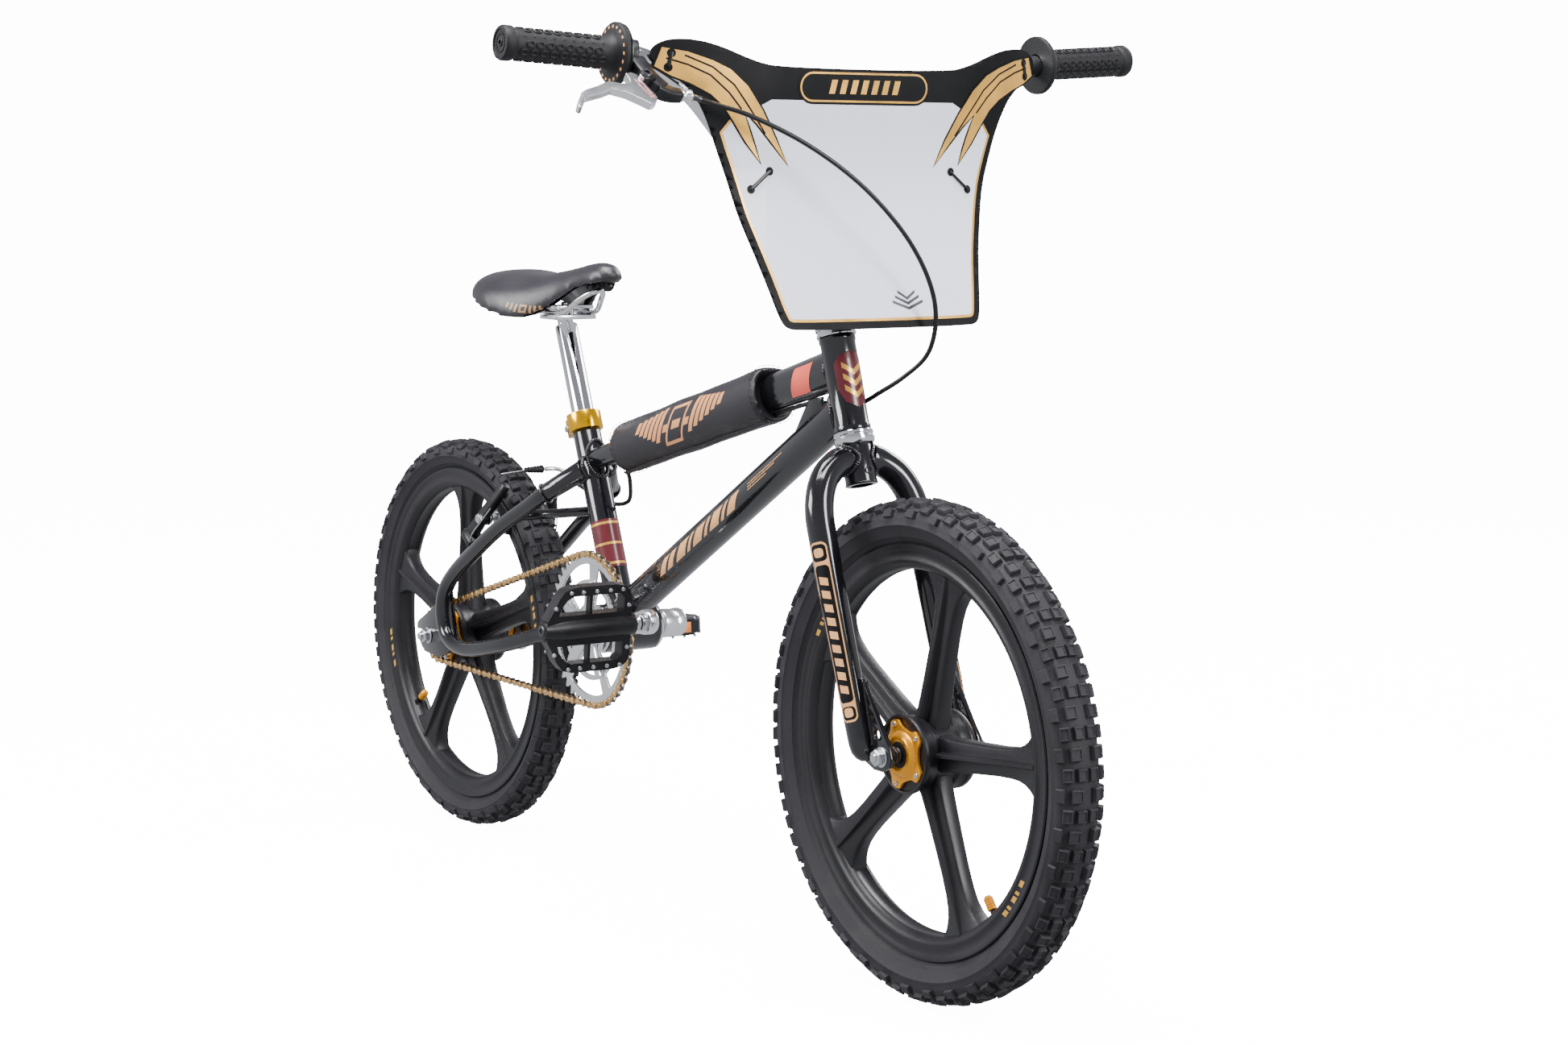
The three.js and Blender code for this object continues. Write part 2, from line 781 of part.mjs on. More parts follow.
function chainBelt() {
  const outside = beltOutline(chain.thick, THREE.Shape);
  const inside = beltOutline(-chain.thick, THREE.Path);
  return slab(outside, chain.side - chain.half, chain.side + chain.half, [inside]);
}

// ---- seat ----
const railHeight = 668;
const railRadius = 3.5;

function seatPost() {
  const pipe = tube(onSeatTube(post.low), onSeatTube(post.high), post.radius, 11, 16);
  const cradle = block(vec(254, 0, railHeight - railRadius - gap - 6), 44, 54, 12);
  const neck = rod(onSeatTube(post.high - 30), onSeatTube(post.high - 2), post.radius, 16, 16);
  return join(pipe, neck, cradle);
}

function saddleRails() {
  const half = [
    [129, 27, 684],
    [145, 25, 678],
    [163, 22.5, 670.5],
    [181, 22, railHeight],
    [224, 22, railHeight],
    [254, 22, railHeight],
    [276, 22, railHeight],
    [288, 21, 671],
    [305, 16, 683],
    [323, 8, 693],
    [328, 0, 695.5],
  ].map(([x, y, z]) => vec(x, y, z));
  const other = half.slice(0, -1).map((p) => vec(p.x, -p.y, p.z));
  return sweep([...half, ...other.reverse()], railRadius, 6, 28);
}

const saddleEnds = { tail: 96, nose: 366 };
const saddleHalf = [
  [0, 40],
  [0.05, 55],
  [0.14, 65],
  [0.24, 68],
  [0.36, 62],
  [0.5, 45],
  [0.64, 30],
  [0.8, 23],
  [0.93, 20],
  [1, 12],
];
const saddleTop = [
  [0, 707],
  [0.06, 712],
  [0.12, 714],
  [0.25, 716],
  [0.4, 713],
  [0.5, 713],
  [0.6, 717],
  [0.72, 722],
  [0.88, 730],
  [0.96, 728],
  [1, 720],
];
const saddleSkirt = [
  [0, 686],
  [0.06, 680],
  [0.12, 675],
  [0.2, 669],
  [0.3, 662],
  [0.38, 657],
  [0.45, 657],
  [0.52, 664],
  [0.62, 682],
  [0.8, 703],
  [1, 708],
];

// A point of the saddle's skin, set in from the outside by an inset.
function saddlePoint(u, v, inset) {
  const x = lerp(saddleEnds.tail + inset, saddleEnds.nose - inset, v);
  const half = through(saddleHalf, v) - 0.8 * inset;
  const top = through(saddleTop, v) - inset;
  const drop = top - through(saddleSkirt, v) - 0.15 * inset;
  const turn = (u * Math.PI) / 2;
  const across = Math.sign(u) * Math.abs(Math.sin(turn)) ** 0.85 * half;
  return vec(x, across, top - drop * (1 - Math.cos(turn) ** 0.8));
}

function saddleLayer(outer, inner, columns, rows) {
  const sheet = new THREE.BoxGeometry(2, 1, 1, columns, rows, 1);
  return reshape(sheet, (u, v, w) => saddlePoint(u, v + 0.5, w > 0 ? outer : inner));
}

// ---- rear brake ----
function brakeArm() {
  const barrel = rod(
    onBrakeLine(pivotRadius, pivotSide, -12),
    onBrakeLine(pivotRadius, pivotSide, 12),
    8.5,
    undefined,
    16,
  );
  const arm = rod(onBrakeLine(pivotRadius, pivotSide), onBrakeLine(258, 34), 7.5, 5.5, 12);
  const holder = rod(onBrakeLine(padRadius, 52), onBrakeLine(padRadius, 26.4), 4, undefined, 12);
  return join(barrel, arm, holder);
}

function brakePad() {
  const start = onBrakeLine(padRadius, 22, -25);
  const end = onBrakeLine(padRadius, 22, 25);
  return between(start, end, new THREE.BoxGeometry(10, 50, 8));
}

// From the lever's barrel, in front of the plate, round the head tube, under the top tube and
// through the pad, past the seat tube and up to the left brake arm.
const cableRoute = [
  [862.6, -202, 909],
  [868, -188, 904],
  [884, -152, 892],
  [903, -98, 865],
  [917, -46, 829],
  [925, -4, 789],
  [927, 26, 751],
  [925, 46, 713],
  [920, 53, 680],
  [907, 52, 650],
  [880, 42, 626],
  [856, 27, 608],
  [835, 23.5, 598],
  [812, 21.5, 595],
  [788, 9, 594.5],
  [764, 0, 592],
  [706, 0, 576.4],
  [640, 0, 560],
  [560, 0, 539.4],
  [480, 0, 519.2],
  [400, 0, 499],
  [389, 2, 494],
  [377, 13, 474],
  [354, 25.5, 449],
  [325, 27.5, 441],
  [290, 29, 443],
  [250, 31, 449],
  [200, 38, 456],
].map(([x, y, z]) => vec(x, y, z));

// ---- assembly ----
mainTubes();
rearTriangle();
add('top_tube_pad', topTubePad(), vinyl);
add('seat_clamp', seatClamp(), gold);
headset();
const leg = forkLeg();
add('fork_leg_left', leg, glossBlack);
add('fork_leg_right', mirrored(leg), glossBlack);
add('handlebar', handlebar(), chrome);
add('stem', stem(), glossBlack);
add('grip_left', grip(), rubber);
add('grip_right', mirrored(grip()), rubber);
add('number_plate', numberPlate(), plastic);
add('brake_lever_bracket', leverBracket(), mattBlack);
add('brake_lever', leverBlade(), silver);
add('brake_cable', sweep(cableRoute, cableRadius, 8, 50), mattBlack);
wheel('front', frontAxle, frontTyre);
wheel('rear', rearAxle, rearTyre);
axleSet('front', frontAxle, 69, 58 + gap);
axleSet('rear', rearAxle, 75, 61.5 + gap);
cranks();
add('chainring', chainring(), silver);
add('freewheel', freewheel(), silver);
add('chain', chainBelt(), paleGold);
add('seat_post', seatPost(), chrome);
add('saddle_rails', saddleRails(), chrome);
add('saddle_cover', saddleLayer(0, 13, 8, 10), vinyl);
add('saddle_base', saddleLayer(14.5, 18, 6, 10), plastic);
for (const side of ['left', 'right']) {
  const sided = (geometry) => (side === 'right' ? mirrored(geometry) : geometry);
  add(`brake_arm_${side}`, sided(brakeArm()), mattBlack);
  add(`brake_pad_${side}`, sided(brakePad()), rubber);
}

export default bike;
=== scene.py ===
"""Looks for a 20-inch BMX race bike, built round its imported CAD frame.

Shapes are written in millimetres, x from the rear axle, y to the rider's left and z from the ground.
"""
import math

import bmesh
import bpy
from mathutils import Matrix, Vector
from mathutils.geometry import tessellate_polygon

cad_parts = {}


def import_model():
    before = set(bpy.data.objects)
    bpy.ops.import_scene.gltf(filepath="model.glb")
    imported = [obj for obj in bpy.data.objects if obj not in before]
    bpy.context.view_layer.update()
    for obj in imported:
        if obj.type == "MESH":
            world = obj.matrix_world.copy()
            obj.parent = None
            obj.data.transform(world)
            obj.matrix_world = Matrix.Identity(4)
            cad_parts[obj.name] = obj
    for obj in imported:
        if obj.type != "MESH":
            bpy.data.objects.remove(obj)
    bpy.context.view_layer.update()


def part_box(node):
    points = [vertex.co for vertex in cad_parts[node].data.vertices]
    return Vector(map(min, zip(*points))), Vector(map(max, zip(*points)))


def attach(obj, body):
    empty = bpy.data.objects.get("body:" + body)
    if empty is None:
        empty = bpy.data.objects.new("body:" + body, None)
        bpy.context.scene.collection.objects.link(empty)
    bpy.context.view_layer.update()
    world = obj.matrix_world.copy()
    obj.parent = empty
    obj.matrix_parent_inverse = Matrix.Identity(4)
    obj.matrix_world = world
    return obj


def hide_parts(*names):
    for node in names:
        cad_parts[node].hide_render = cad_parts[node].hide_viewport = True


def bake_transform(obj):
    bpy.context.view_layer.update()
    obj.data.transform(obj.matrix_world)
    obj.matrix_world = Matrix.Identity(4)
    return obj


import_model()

MM = 0.001
ORIGIN, ACROSS, UP = (Vector(v) for v in ((0, 0, 0), (0, 1, 0), (0, 0, 1)))
SIDES = (("left", 1), ("right", -1))


def middle_of(name):
    """The middle of a CAD node's box, in millimetres."""
    low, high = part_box(name)
    return (low + high) * (0.5 / MM)


REAR, FRONT = middle_of("rear_axle"), middle_of("front_axle")
WHEELBASE = FRONT.x - REAR.x


# ---- shapes ----
class Shape:
    """A surface in millimetres: points and faces."""

    def __init__(self):
        self.points, self.faces = [], []

    def add(self, points, faces):
        start = len(self.points)
        self.points += [Vector(p) for p in points]
        self.faces += [[start + i for i in f] for f in faces]
        return self

    def join(self, *others):
        for other in others:
            self.add(other.points, other.faces)
        return self

    def moved(self, where):
        """A copy whose points went through a matrix or a function."""
        if isinstance(where, Matrix):
            points = [where @ p for p in self.points]
        else:
            points = [where(p) for p in self.points]
        return Shape().add(points, self.faces)

    def sided(self, way):
        """The shape itself for the left side, or its mirror image for the right side."""
        return self if way > 0 else self.moved(lambda p: (p.x, -p.y, p.z))


def skin(rows, loop=False, caps=True):
    """The surface over closed rows of points. loop joins the last row to the first."""
    width = len(rows[0])
    faces = []
    for i in range(len(rows) if loop else len(rows) - 1):
        a, b = i * width, (i + 1) % len(rows) * width
        for j in range(width):
            k = (j + 1) % width
            faces.append([a + j, a + k, b + k, b + j])
    if caps and not loop:
        faces += [list(range(width)), [len(rows) * width - 1 - j for j in range(width)]]
    return Shape().add([p for row in rows for p in row], faces)


def across_from(along, up):
    """Two directions square to along, the first as near to up as it can be."""
    up = Vector(up)
    if abs(along.dot(up)) > 0.98:
        up = ACROSS if abs(along.y) < 0.9 else Vector((1, 0, 0))
    first = (up - along * up.dot(along)).normalized()
    return first, along.cross(first)


def circle(radius, sides=16, centre=(0, 0), start=0.0, turn=360.0):
    """Points round a circle, or along an arc of it with both ends."""
    count = sides if turn == 360 else sides + 1
    angles = [math.radians(start + turn * i / sides) for i in range(count)]
    return [(centre[0] + radius * math.cos(a), centre[1] + radius * math.sin(a)) for a in angles]


def spots_round(radius, count, start=0.0, y=0.0):
    """Places evenly round a line across the bike."""
    return [Vector((u, y, v)) for u, v in circle(radius, count, start=start)]


def lathe(profile, start, along, sides=48, loop=False):
    """Turns a profile of (radius, distance along) round the line from start."""
    start, along = Vector(start), Vector(along).normalized()
    first, second = across_from(along, UP)
    rows = [
        [start + along * h + first * u + second * v for u, v in circle(r, sides)]
        for r, h in profile
    ]
    return skin(rows, loop=loop)


def rod(start, end, radius, end_radius=None, sides=24):
    """A round bar with slightly rounded edges."""
    start, end = Vector(start), Vector(end)
    length = (end - start).length
    last = radius if end_radius is None else end_radius
    edge = min(0.6, radius / 5)
    profile = [
        (radius - edge, 0), (radius - edge * 0.3, edge * 0.3), (radius, edge),
        (last, length - edge), (last - edge * 0.3, length - edge * 0.3), (last - edge, length),
    ]
    return lathe(profile, start, end - start, sides)


def spline(points, step=3.0):
    """Points close together on a smooth line through the given ones."""
    p = [Vector(q) for q in points]
    n = len(p)
    tangents = []
    for i in range(n):
        a, b = p[max(i - 1, 0)], p[min(i + 1, n - 1)]
        run = (p[i] - a).length + (b - p[i]).length
        tangents.append((b - a) / run)
    made = [p[0]]
    for i in range(n - 1):
        length = (p[i + 1] - p[i]).length
        pieces = max(1, math.ceil(length / step))
        for k in range(1, pieces + 1):
            t = k / pieces
            made.append(
                p[i] * (2 * t**3 - 3 * t**2 + 1)
                + tangents[i] * length * (t**3 - 2 * t**2 + t)
                + p[i + 1] * (3 * t**2 - 2 * t**3)
                + tangents[i + 1] * length * (t**3 - t**2)
            )
    return made


def sweep(route, section, sides=16, up=UP, loop=False):
    """Carries a section along a line: a radius, pairs (up, across), or a function of the share."""
    points = [Vector(p) for p in route]
    rows, first, last = [], None, len(points) - 1
    for i, p in enumerate(points):
        before = points[i - 1] if loop or i else points[0]
        after = points[(i + 1) % len(points)] if loop or i < last else points[last]
        along = (after - before).normalized()
        if first is None:
            first, second = across_from(along, up)
        first = (first - along * first.dot(along)).normalized()
        second = along.cross(first)
        cut = section(i / last) if callable(section) else section
        pairs = circle(cut, sides) if isinstance(cut, (int, float)) else cut
        rows.append([p + first * u + second * v for u, v in pairs])
    return skin(rows, loop=loop)


def rounded(half_up, half_side, edge, steps=3):
    """A rectangle with rounded corners, as pairs (up, across)."""
    made = []
    for u, v, start in ((1, 1, 0), (-1, 1, 90), (-1, -1, 180), (1, -1, 270)):
        centre = (u * (half_up - edge), v * (half_side - edge))
        made += circle(edge, steps, centre, start, 90)
    return made


def prism(outline, low, high, holes=()):
    """An outline of (x, y) pairs, pushed along z."""
    loops = [list(outline), *[list(h) for h in holes]]
    flat = [p for one in loops for p in one]
    count = len(flat)
    if holes:
        caps = tessellate_polygon([[Vector((x, y, 0)) for x, y in one] for one in loops])
    else:
        caps = [range(count)]
    faces = [list(c) for c in caps] + [[i + count for i in reversed(c)] for c in caps]
    start = 0
    for one in loops:
        n = len(one)
        for i in range(n):
            a, b = start + i, start + (i + 1) % n
            faces.append([a, b, b + count, a + count])
        start += n
    return Shape().add([(x, y, low) for x, y in flat] + [(x, y, high) for x, y in flat], faces)


def slab(outline, y0, y1, holes=()):
    """An outline of (x, z) pairs, pushed across the bike from y0 to y1."""
    return prism(outline, y0, y1, holes).moved(lambda p: (p.x, p.z, p.y))


def box(centre, size):
    x, y, z = Vector(size) / 2
    corners = [(-x, -y), (x, -y), (x, y), (-x, y)]
    return skin([[Vector(centre) + Vector((a, b, c)) for a, b in corners] for c in (-z, z)])


def turned(origin, degrees):
    """A frame at origin whose x and z are turned by degrees, from level towards up."""
    c, s = math.cos(math.radians(degrees)), math.sin(math.radians(degrees))
    o = Vector(origin)
    return Matrix(((c, 0, -s, o.x), (0, 1, 0, o.y), (s, 0, c, o.z), (0, 0, 0, 1)))


def hexagon(centre, along, r, height):
    """A chamfered nut; r is the distance from its middle to a corner."""
    profile = [(r * 0.86, 0), (r, height * 0.14), (r, height * 0.86), (r * 0.86, height)]
    return lathe(profile, centre, along, 6)


def bolt(centre, along, radius, height):
    """A round bolt head with a socket."""
    profile = [
        (radius, 0), (radius, height * 0.6), (radius * 0.85, height), (radius * 0.5, height),
        (radius * 0.48, height * 0.3), (0.01, height * 0.3),
    ]
    return lathe(profile, centre, along, 20)


BEAD_STEP, RIPPLE_LENGTH = 0.75, 2.9


def bead(points, radius=2.3, loop=True):
    """A weld: overlapping ripples along a line."""
    line = spline([*points, points[0]] if loop else points, BEAD_STEP)
    if loop:
        line = line[:-1]
    ripples = len(line) * BEAD_STEP / RIPPLE_LENGTH

    def ripple(share):
        return radius * (0.84 + 0.2 * abs(math.sin(math.pi * share * ripples)))

    return sweep(line, ripple, 7, loop=loop)


def seam(ring, along, axis_point, axis_way, radius):
    """Where lines from a ring of points, going along, first meet a round tube."""
    made = []
    along, axis_way = Vector(along).normalized(), Vector(axis_way).normalized()
    for p in ring:
        d = along - axis_way * along.dot(axis_way)
        e = p - Vector(axis_point)
        e = e - axis_way * e.dot(axis_way)
        a, b, c = d.dot(d), 2 * d.dot(e), e.dot(e) - radius**2
        root = max(0.0, b * b - 4 * a * c)
        made.append(p + along * (-b - math.sqrt(root)) / (2 * a))
    return made


def cut(piece, side):
    """The part of an outline where side(point) isn't negative."""
    out = []
    for a, b in zip(piece, piece[1:] + piece[:1]):
        da, db = side(a), side(b)
        if da >= 0:
            out.append(a)
        if da * db < 0:
            share = da / (da - db)
            out.append((a[0] + (b[0] - a[0]) * share, a[1] + (b[1] - a[1]) * share))
    return out


def strips(piece, axis, step):
    """A convex piece cut at every whole step along one axis."""
    values = [p[axis] for p in piece]
    made = []
    for k in range(math.floor(min(values) / step), math.ceil(max(values) / step)):
        above = cut(piece, lambda p: p[axis] - k * step)
        part = cut(above, lambda p: (k + 1) * step - p[axis])
        if len(part) > 2:
            made.append(part)
    return made


def graphic(outline, place, steps=(6, 6)):
    """A thin printed shape: an outline of (u, v), cut fine, then laid on a surface by place(u, v)."""
    numbers, faces = {}, []
    for triangle in tessellate_polygon([[Vector((u, v, 0)) for u, v in outline]]):
        pieces = [[tuple(outline[i]) for i in triangle]]
        for axis in (0, 1):
            pieces = [part for piece in pieces for part in strips(piece, axis, steps[axis])]
        for piece in pieces:
            face = []
            for u, v in piece:
                number = numbers.setdefault((round(u, 3), round(v, 3)), len(numbers))
                if number not in face:
                    face.append(number)
            if len(face) > 2:
                faces.append(face)
    return Shape().add([place(u, v) for u, v in numbers], faces)


def inset(outline, distance):
    """The outline moved inwards, for outlines that go round anticlockwise."""
    n = len(outline)
    made = []
    for i in range(n):
        a, p, b = (Vector(outline[(i + k) % n]) for k in (-1, 0, 1))
        first, second = (p - a).normalized(), (b - p).normalized()
        normal = Vector((-first.y - second.y, first.x + second.x)).normalized()
        share = max(0.5, normal.dot(Vector((-first.y, first.x))))
        made.append(tuple(p + normal * distance / share))
    return made


def through(pairs, place):
    """The value at a place on the straight lines through pairs of place and value."""
    for (x0, y0), (x1, y1) in zip(pairs, pairs[1:]):
        if place <= x1 or (x1, y1) == pairs[-1]:
            return y0 + (y1 - y0) * (place - x0) / (x1 - x0)


# ---- pieces ----
MERGE, SHARP = 3e-6, math.radians(32)


def world(p):
    """A place in metres, as the CAD has it, from bike millimetres."""
    return Vector((p[0] + REAR.x, p[1], p[2])) * MM


def baked(obj, angle):
    """Applies the modifiers and shades faces smoothly up to an angle."""
    graph = bpy.context.evaluated_depsgraph_get()
    mesh = bpy.data.meshes.new_from_object(obj.evaluated_get(graph))
    obj.modifiers.clear()
    obj.data = mesh
    mesh.shade_smooth()
    mesh.set_sharp_from_angle(angle=math.radians(angle))
    return obj


def make(name, shape, look, body, slot=None, bevel=0.0, angle=38, replaces=(), steps=2):
    """One Blender piece from a shape in bike millimetres."""
    mesh = bpy.data.meshes.new(name)
    mesh.from_pydata([world(p) for p in shape.points], [], shape.faces)
    mesh.materials.append(look)
    bm = bmesh.new()
    bm.from_mesh(mesh)
    bmesh.ops.remove_doubles(bm, verts=bm.verts, dist=MERGE)
    bmesh.ops.recalc_face_normals(bm, faces=bm.faces)
    bm.to_mesh(mesh)
    bm.free()
    obj = bpy.data.objects.new(name, mesh)
    bpy.context.scene.collection.objects.link(obj)
    if bevel:
        rounding = obj.modifiers.new("edges", "BEVEL")
        rounding.width = bevel * MM
        rounding.segments = steps
        rounding.limit_method = "ANGLE"
        rounding.angle_limit = SHARP
    baked(obj, angle)
    if body:
        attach(obj, body)
    if replaces:
        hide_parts(*replaces)
    return obj


# ---- materials ----
def node(tree, kind, inputs=None, **values):
    made = tree.nodes.new(kind)
    for key, value in values.items():
        setattr(made, key, value)
    for key, value in (inputs or {}).items():
        if isinstance(value, bpy.types.NodeSocket):
            tree.links.new(value, made.inputs[key])
        else:
            made.inputs[key].default_value = value
    return made


RAMP_LOW, RAMP_HIGH, BUMP_HEIGHT = 0.3, 0.7, 0.0006


def material(
    name, color, rough, metal=0.0, coat=0.0, mottle=0.12, grain=(700, 0.04), patch=30, shine=0.5, extra=None
):
    """A procedural finish: broad changes in colour and gloss, and a fine surface grain.

    mottle is the share by which the colour varies, patch the scale of that, grain the scale and
    strength of the bump, and extra adds a printed pattern to the colour.
    """
    made = bpy.data.materials.new(name)
    made.use_nodes = True
    tree = made.node_tree
    shader = tree.nodes["Principled BSDF"]
    where = node(tree, "ShaderNodeTexCoord").outputs["Object"]
    broad = node(tree, "ShaderNodeTexNoise", {"Vector": where, "Scale": patch, "Detail": 5})
    fine = node(tree, "ShaderNodeTexNoise", {"Vector": where, "Scale": grain[0], "Detail": 3})
    ramp = node(tree, "ShaderNodeValToRGB", {"Fac": broad.outputs["Fac"]})
    dark = [max(0, c * (1 - mottle)) for c in color]
    light = [min(1, c * (1 + mottle)) for c in color]
    ends = ((RAMP_LOW, dark), (RAMP_HIGH, light))
    for element, (place, tone) in zip(ramp.color_ramp.elements, ends):
        element.position, element.color = place, (*tone, 1)
    gloss = node(tree, "ShaderNodeMapRange", {
        "Value": broad.outputs["Fac"], "From Min": RAMP_LOW, "From Max": RAMP_HIGH,
        "To Min": rough * 0.82, "To Max": rough * 1.2,
    })
    bump = node(tree, "ShaderNodeBump", {
        "Height": fine.outputs["Fac"], "Strength": grain[1], "Distance": BUMP_HEIGHT,
    })
    colour = extra(tree, where, ramp.outputs["Color"]) if extra else ramp.outputs["Color"]
    tree.links.new(colour, shader.inputs["Base Color"])
    tree.links.new(gloss.outputs["Result"], shader.inputs["Roughness"])
    tree.links.new(bump.outputs["Normal"], shader.inputs["Normal"])
    shader.inputs["Metallic"].default_value = metal
    shader.inputs["Coat Weight"].default_value = coat
    shader.inputs["Specular IOR Level"].default_value = shine
    shader.inputs["Coat Roughness"].default_value = 0.04
    return made


def printed(tree, where, colour, origin, slope, lean, blocks, holes, ink):
    """Blocks (along, half length, height, half height) printed along a sloping line that starts at origin."""
    def calc(operation, *values):
        return node(tree, "ShaderNodeMath", dict(enumerate(values)), operation=operation).outputs[0]

    parts = node(tree, "ShaderNodeSeparateXYZ", {"Vector": where})
    along = calc("SUBTRACT", parts.outputs["X"], origin.x)
    level = calc("SUBTRACT", parts.outputs["Z"], origin.z)
    height = calc("SUBTRACT", level, calc("MULTIPLY", along, slope))
    along = calc("SUBTRACT", along, calc("MULTIPLY", height, lean))

    def block(middle, half, rise, tall):
        return calc("MULTIPLY", calc("COMPARE", along, middle, half), calc("COMPARE", height, rise, tall))

    mask = block(*blocks[0])
    for one in blocks[1:]:
        mask = calc("MAXIMUM", mask, block(*one))
    for one in holes:
        mask = calc("ABSOLUTE", calc("SUBTRACT", mask, block(*one)))
    mixed = node(tree, "ShaderNodeMix", {"Factor": mask}, data_type="RGBA")
    tree.links.new(colour, mixed.inputs["A"])
    mixed.inputs["B"].default_value = ink
    return mixed.outputs["Result"]


def saddle_print(tree, where, colour):
    """A small pale gold badge low on each side of the saddle: a diamond bar between leaning strokes."""
    blocks = [(0.0, 0.0050, 0.0, 0.0050)]
    for k in range(3):
        for way in (1, -1):
            blocks.append((way * (0.0100 + 0.0062 * k), 0.0016, 0.0014 * k, 0.0046 - 0.0008 * k))
    holes = [(0.0, 0.0026, 0.0, 0.0026)]
    origin, ink = world((226, 0, 671)), (0.48, 0.27, 0.10, 1)
    return printed(tree, where, colour, origin, -0.06, 0.3, blocks, holes, ink)


gloss_black = material("gloss_black_paint", (0.006, 0.006, 0.008), 0.15, coat=0.8, grain=(260, 0.015),
                       shine=0.4)
weld_black = material("weld_black_paint", (0.005, 0.005, 0.007), 0.2, coat=0.5, grain=(900, 0.10), shine=0.4)
chrome = material("chrome", (0.82, 0.83, 0.85), 0.06, 1.0, grain=(300, 0.01), mottle=0.04)
polished = material("polished_alloy", (0.92, 0.93, 0.95), 0.22, 1.0, grain=(500, 0.03), mottle=0.05)
steel = material("zinc_steel", (0.66, 0.68, 0.70), 0.28, 1.0, grain=(1200, 0.08))
dark_steel = material("dark_steel", (0.10, 0.10, 0.11), 0.38, 1.0, grain=(1200, 0.10))
gold = material("gold_anodised", (1.0, 0.40, 0.015), 0.30, 0.65, grain=(900, 0.04), mottle=0.08)
collar_gold = material("collar_gold", (1.0, 0.50, 0.0), 0.16, 0.9, grain=(900, 0.03), mottle=0.06)
chain_gold = material("pale_gold_steel", (0.74, 0.47, 0.20), 0.26, 1.0, grain=(900, 0.08))
rubber = material("tyre_rubber", (0.020, 0.0192, 0.0235), 0.62, mottle=0.3, grain=(1500, 0.35), patch=22,
                  shine=0.35)
grip_rubber = material("grip_rubber", (0.009, 0.009, 0.011), 0.55, mottle=0.2, grain=(1800, 0.3), shine=0.3)
nylon = material("wheel_nylon", (0.0125, 0.012, 0.0150), 0.38, mottle=0.25, grain=(1100, 0.2), patch=14,
                 shine=0.35)
plastic = material("black_plastic", (0.006, 0.006, 0.007), 0.28, mottle=0.15, grain=(800, 0.06), shine=0.4)
matt_black = material("matt_black_alloy", (0.007, 0.007, 0.009), 0.36, mottle=0.2, grain=(1300, 0.2),
                      shine=0.4)
saddle_vinyl = material(
    "saddle_vinyl", (0.016, 0.0145, 0.020), 0.36, mottle=0.12, grain=(1500, 0.3), patch=12, shine=0.75,
    extra=saddle_print
)
cable_black = material("cable_housing", (0.006, 0.006, 0.007), 0.32, grain=(1600, 0.1), shine=0.4)
plate_black = material("plate_black", (0.004, 0.004, 0.005), 0.5, grain=(200, 0.02), shine=0.15)
panel_white = material("plate_panel", (0.86, 0.87, 1.0), 0.4, coat=0.2, mottle=0.02, grain=(500, 0.03),
                       patch=8)
print_gold = material("gold_print", (0.80, 0.43, 0.075), 0.32, 0.5, coat=0.3, mottle=0.16, grain=(900, 0.05))
print_tan = material("tan_print", (0.86, 0.42, 0.16), 0.36, coat=0.3, mottle=0.10)
print_maroon = material("maroon_print", (0.11, 0.010, 0.016), 0.3, coat=0.4, mottle=0.2)
print_coral = material("coral_print", (0.85, 0.10, 0.06), 0.35, coat=0.4, mottle=0.1)
reflector = material("amber_reflector", (0.80, 0.20, 0.02), 0.18, coat=1.0, mottle=0.25, grain=(420, 0.5),
                     patch=300)


# ---- frame ----
HEAD_ANGLE = math.radians(72.4)
STEER_UP = Vector((-math.cos(HEAD_ANGLE), 0, math.sin(HEAD_ANGLE)))
STEER_FORWARD = Vector((math.sin(HEAD_ANGLE), 0, math.cos(HEAD_ANGLE)))
REAR_AXLE = Vector((0, 0, REAR.z))
FRONT_AXLE = Vector((WHEELBASE, 0, FRONT.z))
STEER_FOOT = FRONT_AXLE - STEER_FORWARD * 35.7
CRANK_AXLE = Vector((386, 0, 304))
CRANK_LENGTH, CRANK_TURN = 175, 11.2
AT_CRANK, AT_REAR_AXLE = Matrix.Translation(CRANK_AXLE), Matrix.Translation(REAR_AXLE)
SEAT_ANGLE = math.radians(68.5)
SEAT_UP = Vector((-math.cos(SEAT_ANGLE), 0, math.sin(SEAT_ANGLE)))
SEAT_BACK = Vector((-math.sin(SEAT_ANGLE), 0, -math.cos(SEAT_ANGLE)))
HEAD_AXIS, SEAT_AXIS = (STEER_FOOT, STEER_UP), (CRANK_AXLE, SEAT_UP)
PAINT = {"look": gloss_black, "slot": "frame_paint"}
WELD = {"look": weld_black, "slot": "frame_paint", "angle": 60}


def on_steerer(height, forward=0.0, side=0.0):
    return STEER_FOOT + STEER_UP * height + STEER_FORWARD * forward + Vector((0, side, 0))


def on_seat(height, back=0.0, side=0.0):
    return CRANK_AXLE + SEAT_UP * height + SEAT_BACK * back + Vector((0, side, 0))


TOP_SLOPE, DOWN_SLOPE = 0.2734, 0.6


def top_z(x):
    """The height of the top tube's middle."""
    return 616.8 + TOP_SLOPE * (x - 763)


def top_half(x):
    """Half the height of the top tube."""
    return 13.3 + 8.3 * (x - 368) / 417


def down_z(x):
    """The height of the down tube's middle."""
    return 547 + DOWN_SLOPE * (x - 763)


def down_half(x):
    """Half the height of the down tube, which is the same all along."""
    return 20.5


TOP_SIDE, DOWN_SIDE = 13, 17


def ellipse(tall, wide):
    return [(tall * u, wide * v) for u, v in circle(1, 32)]


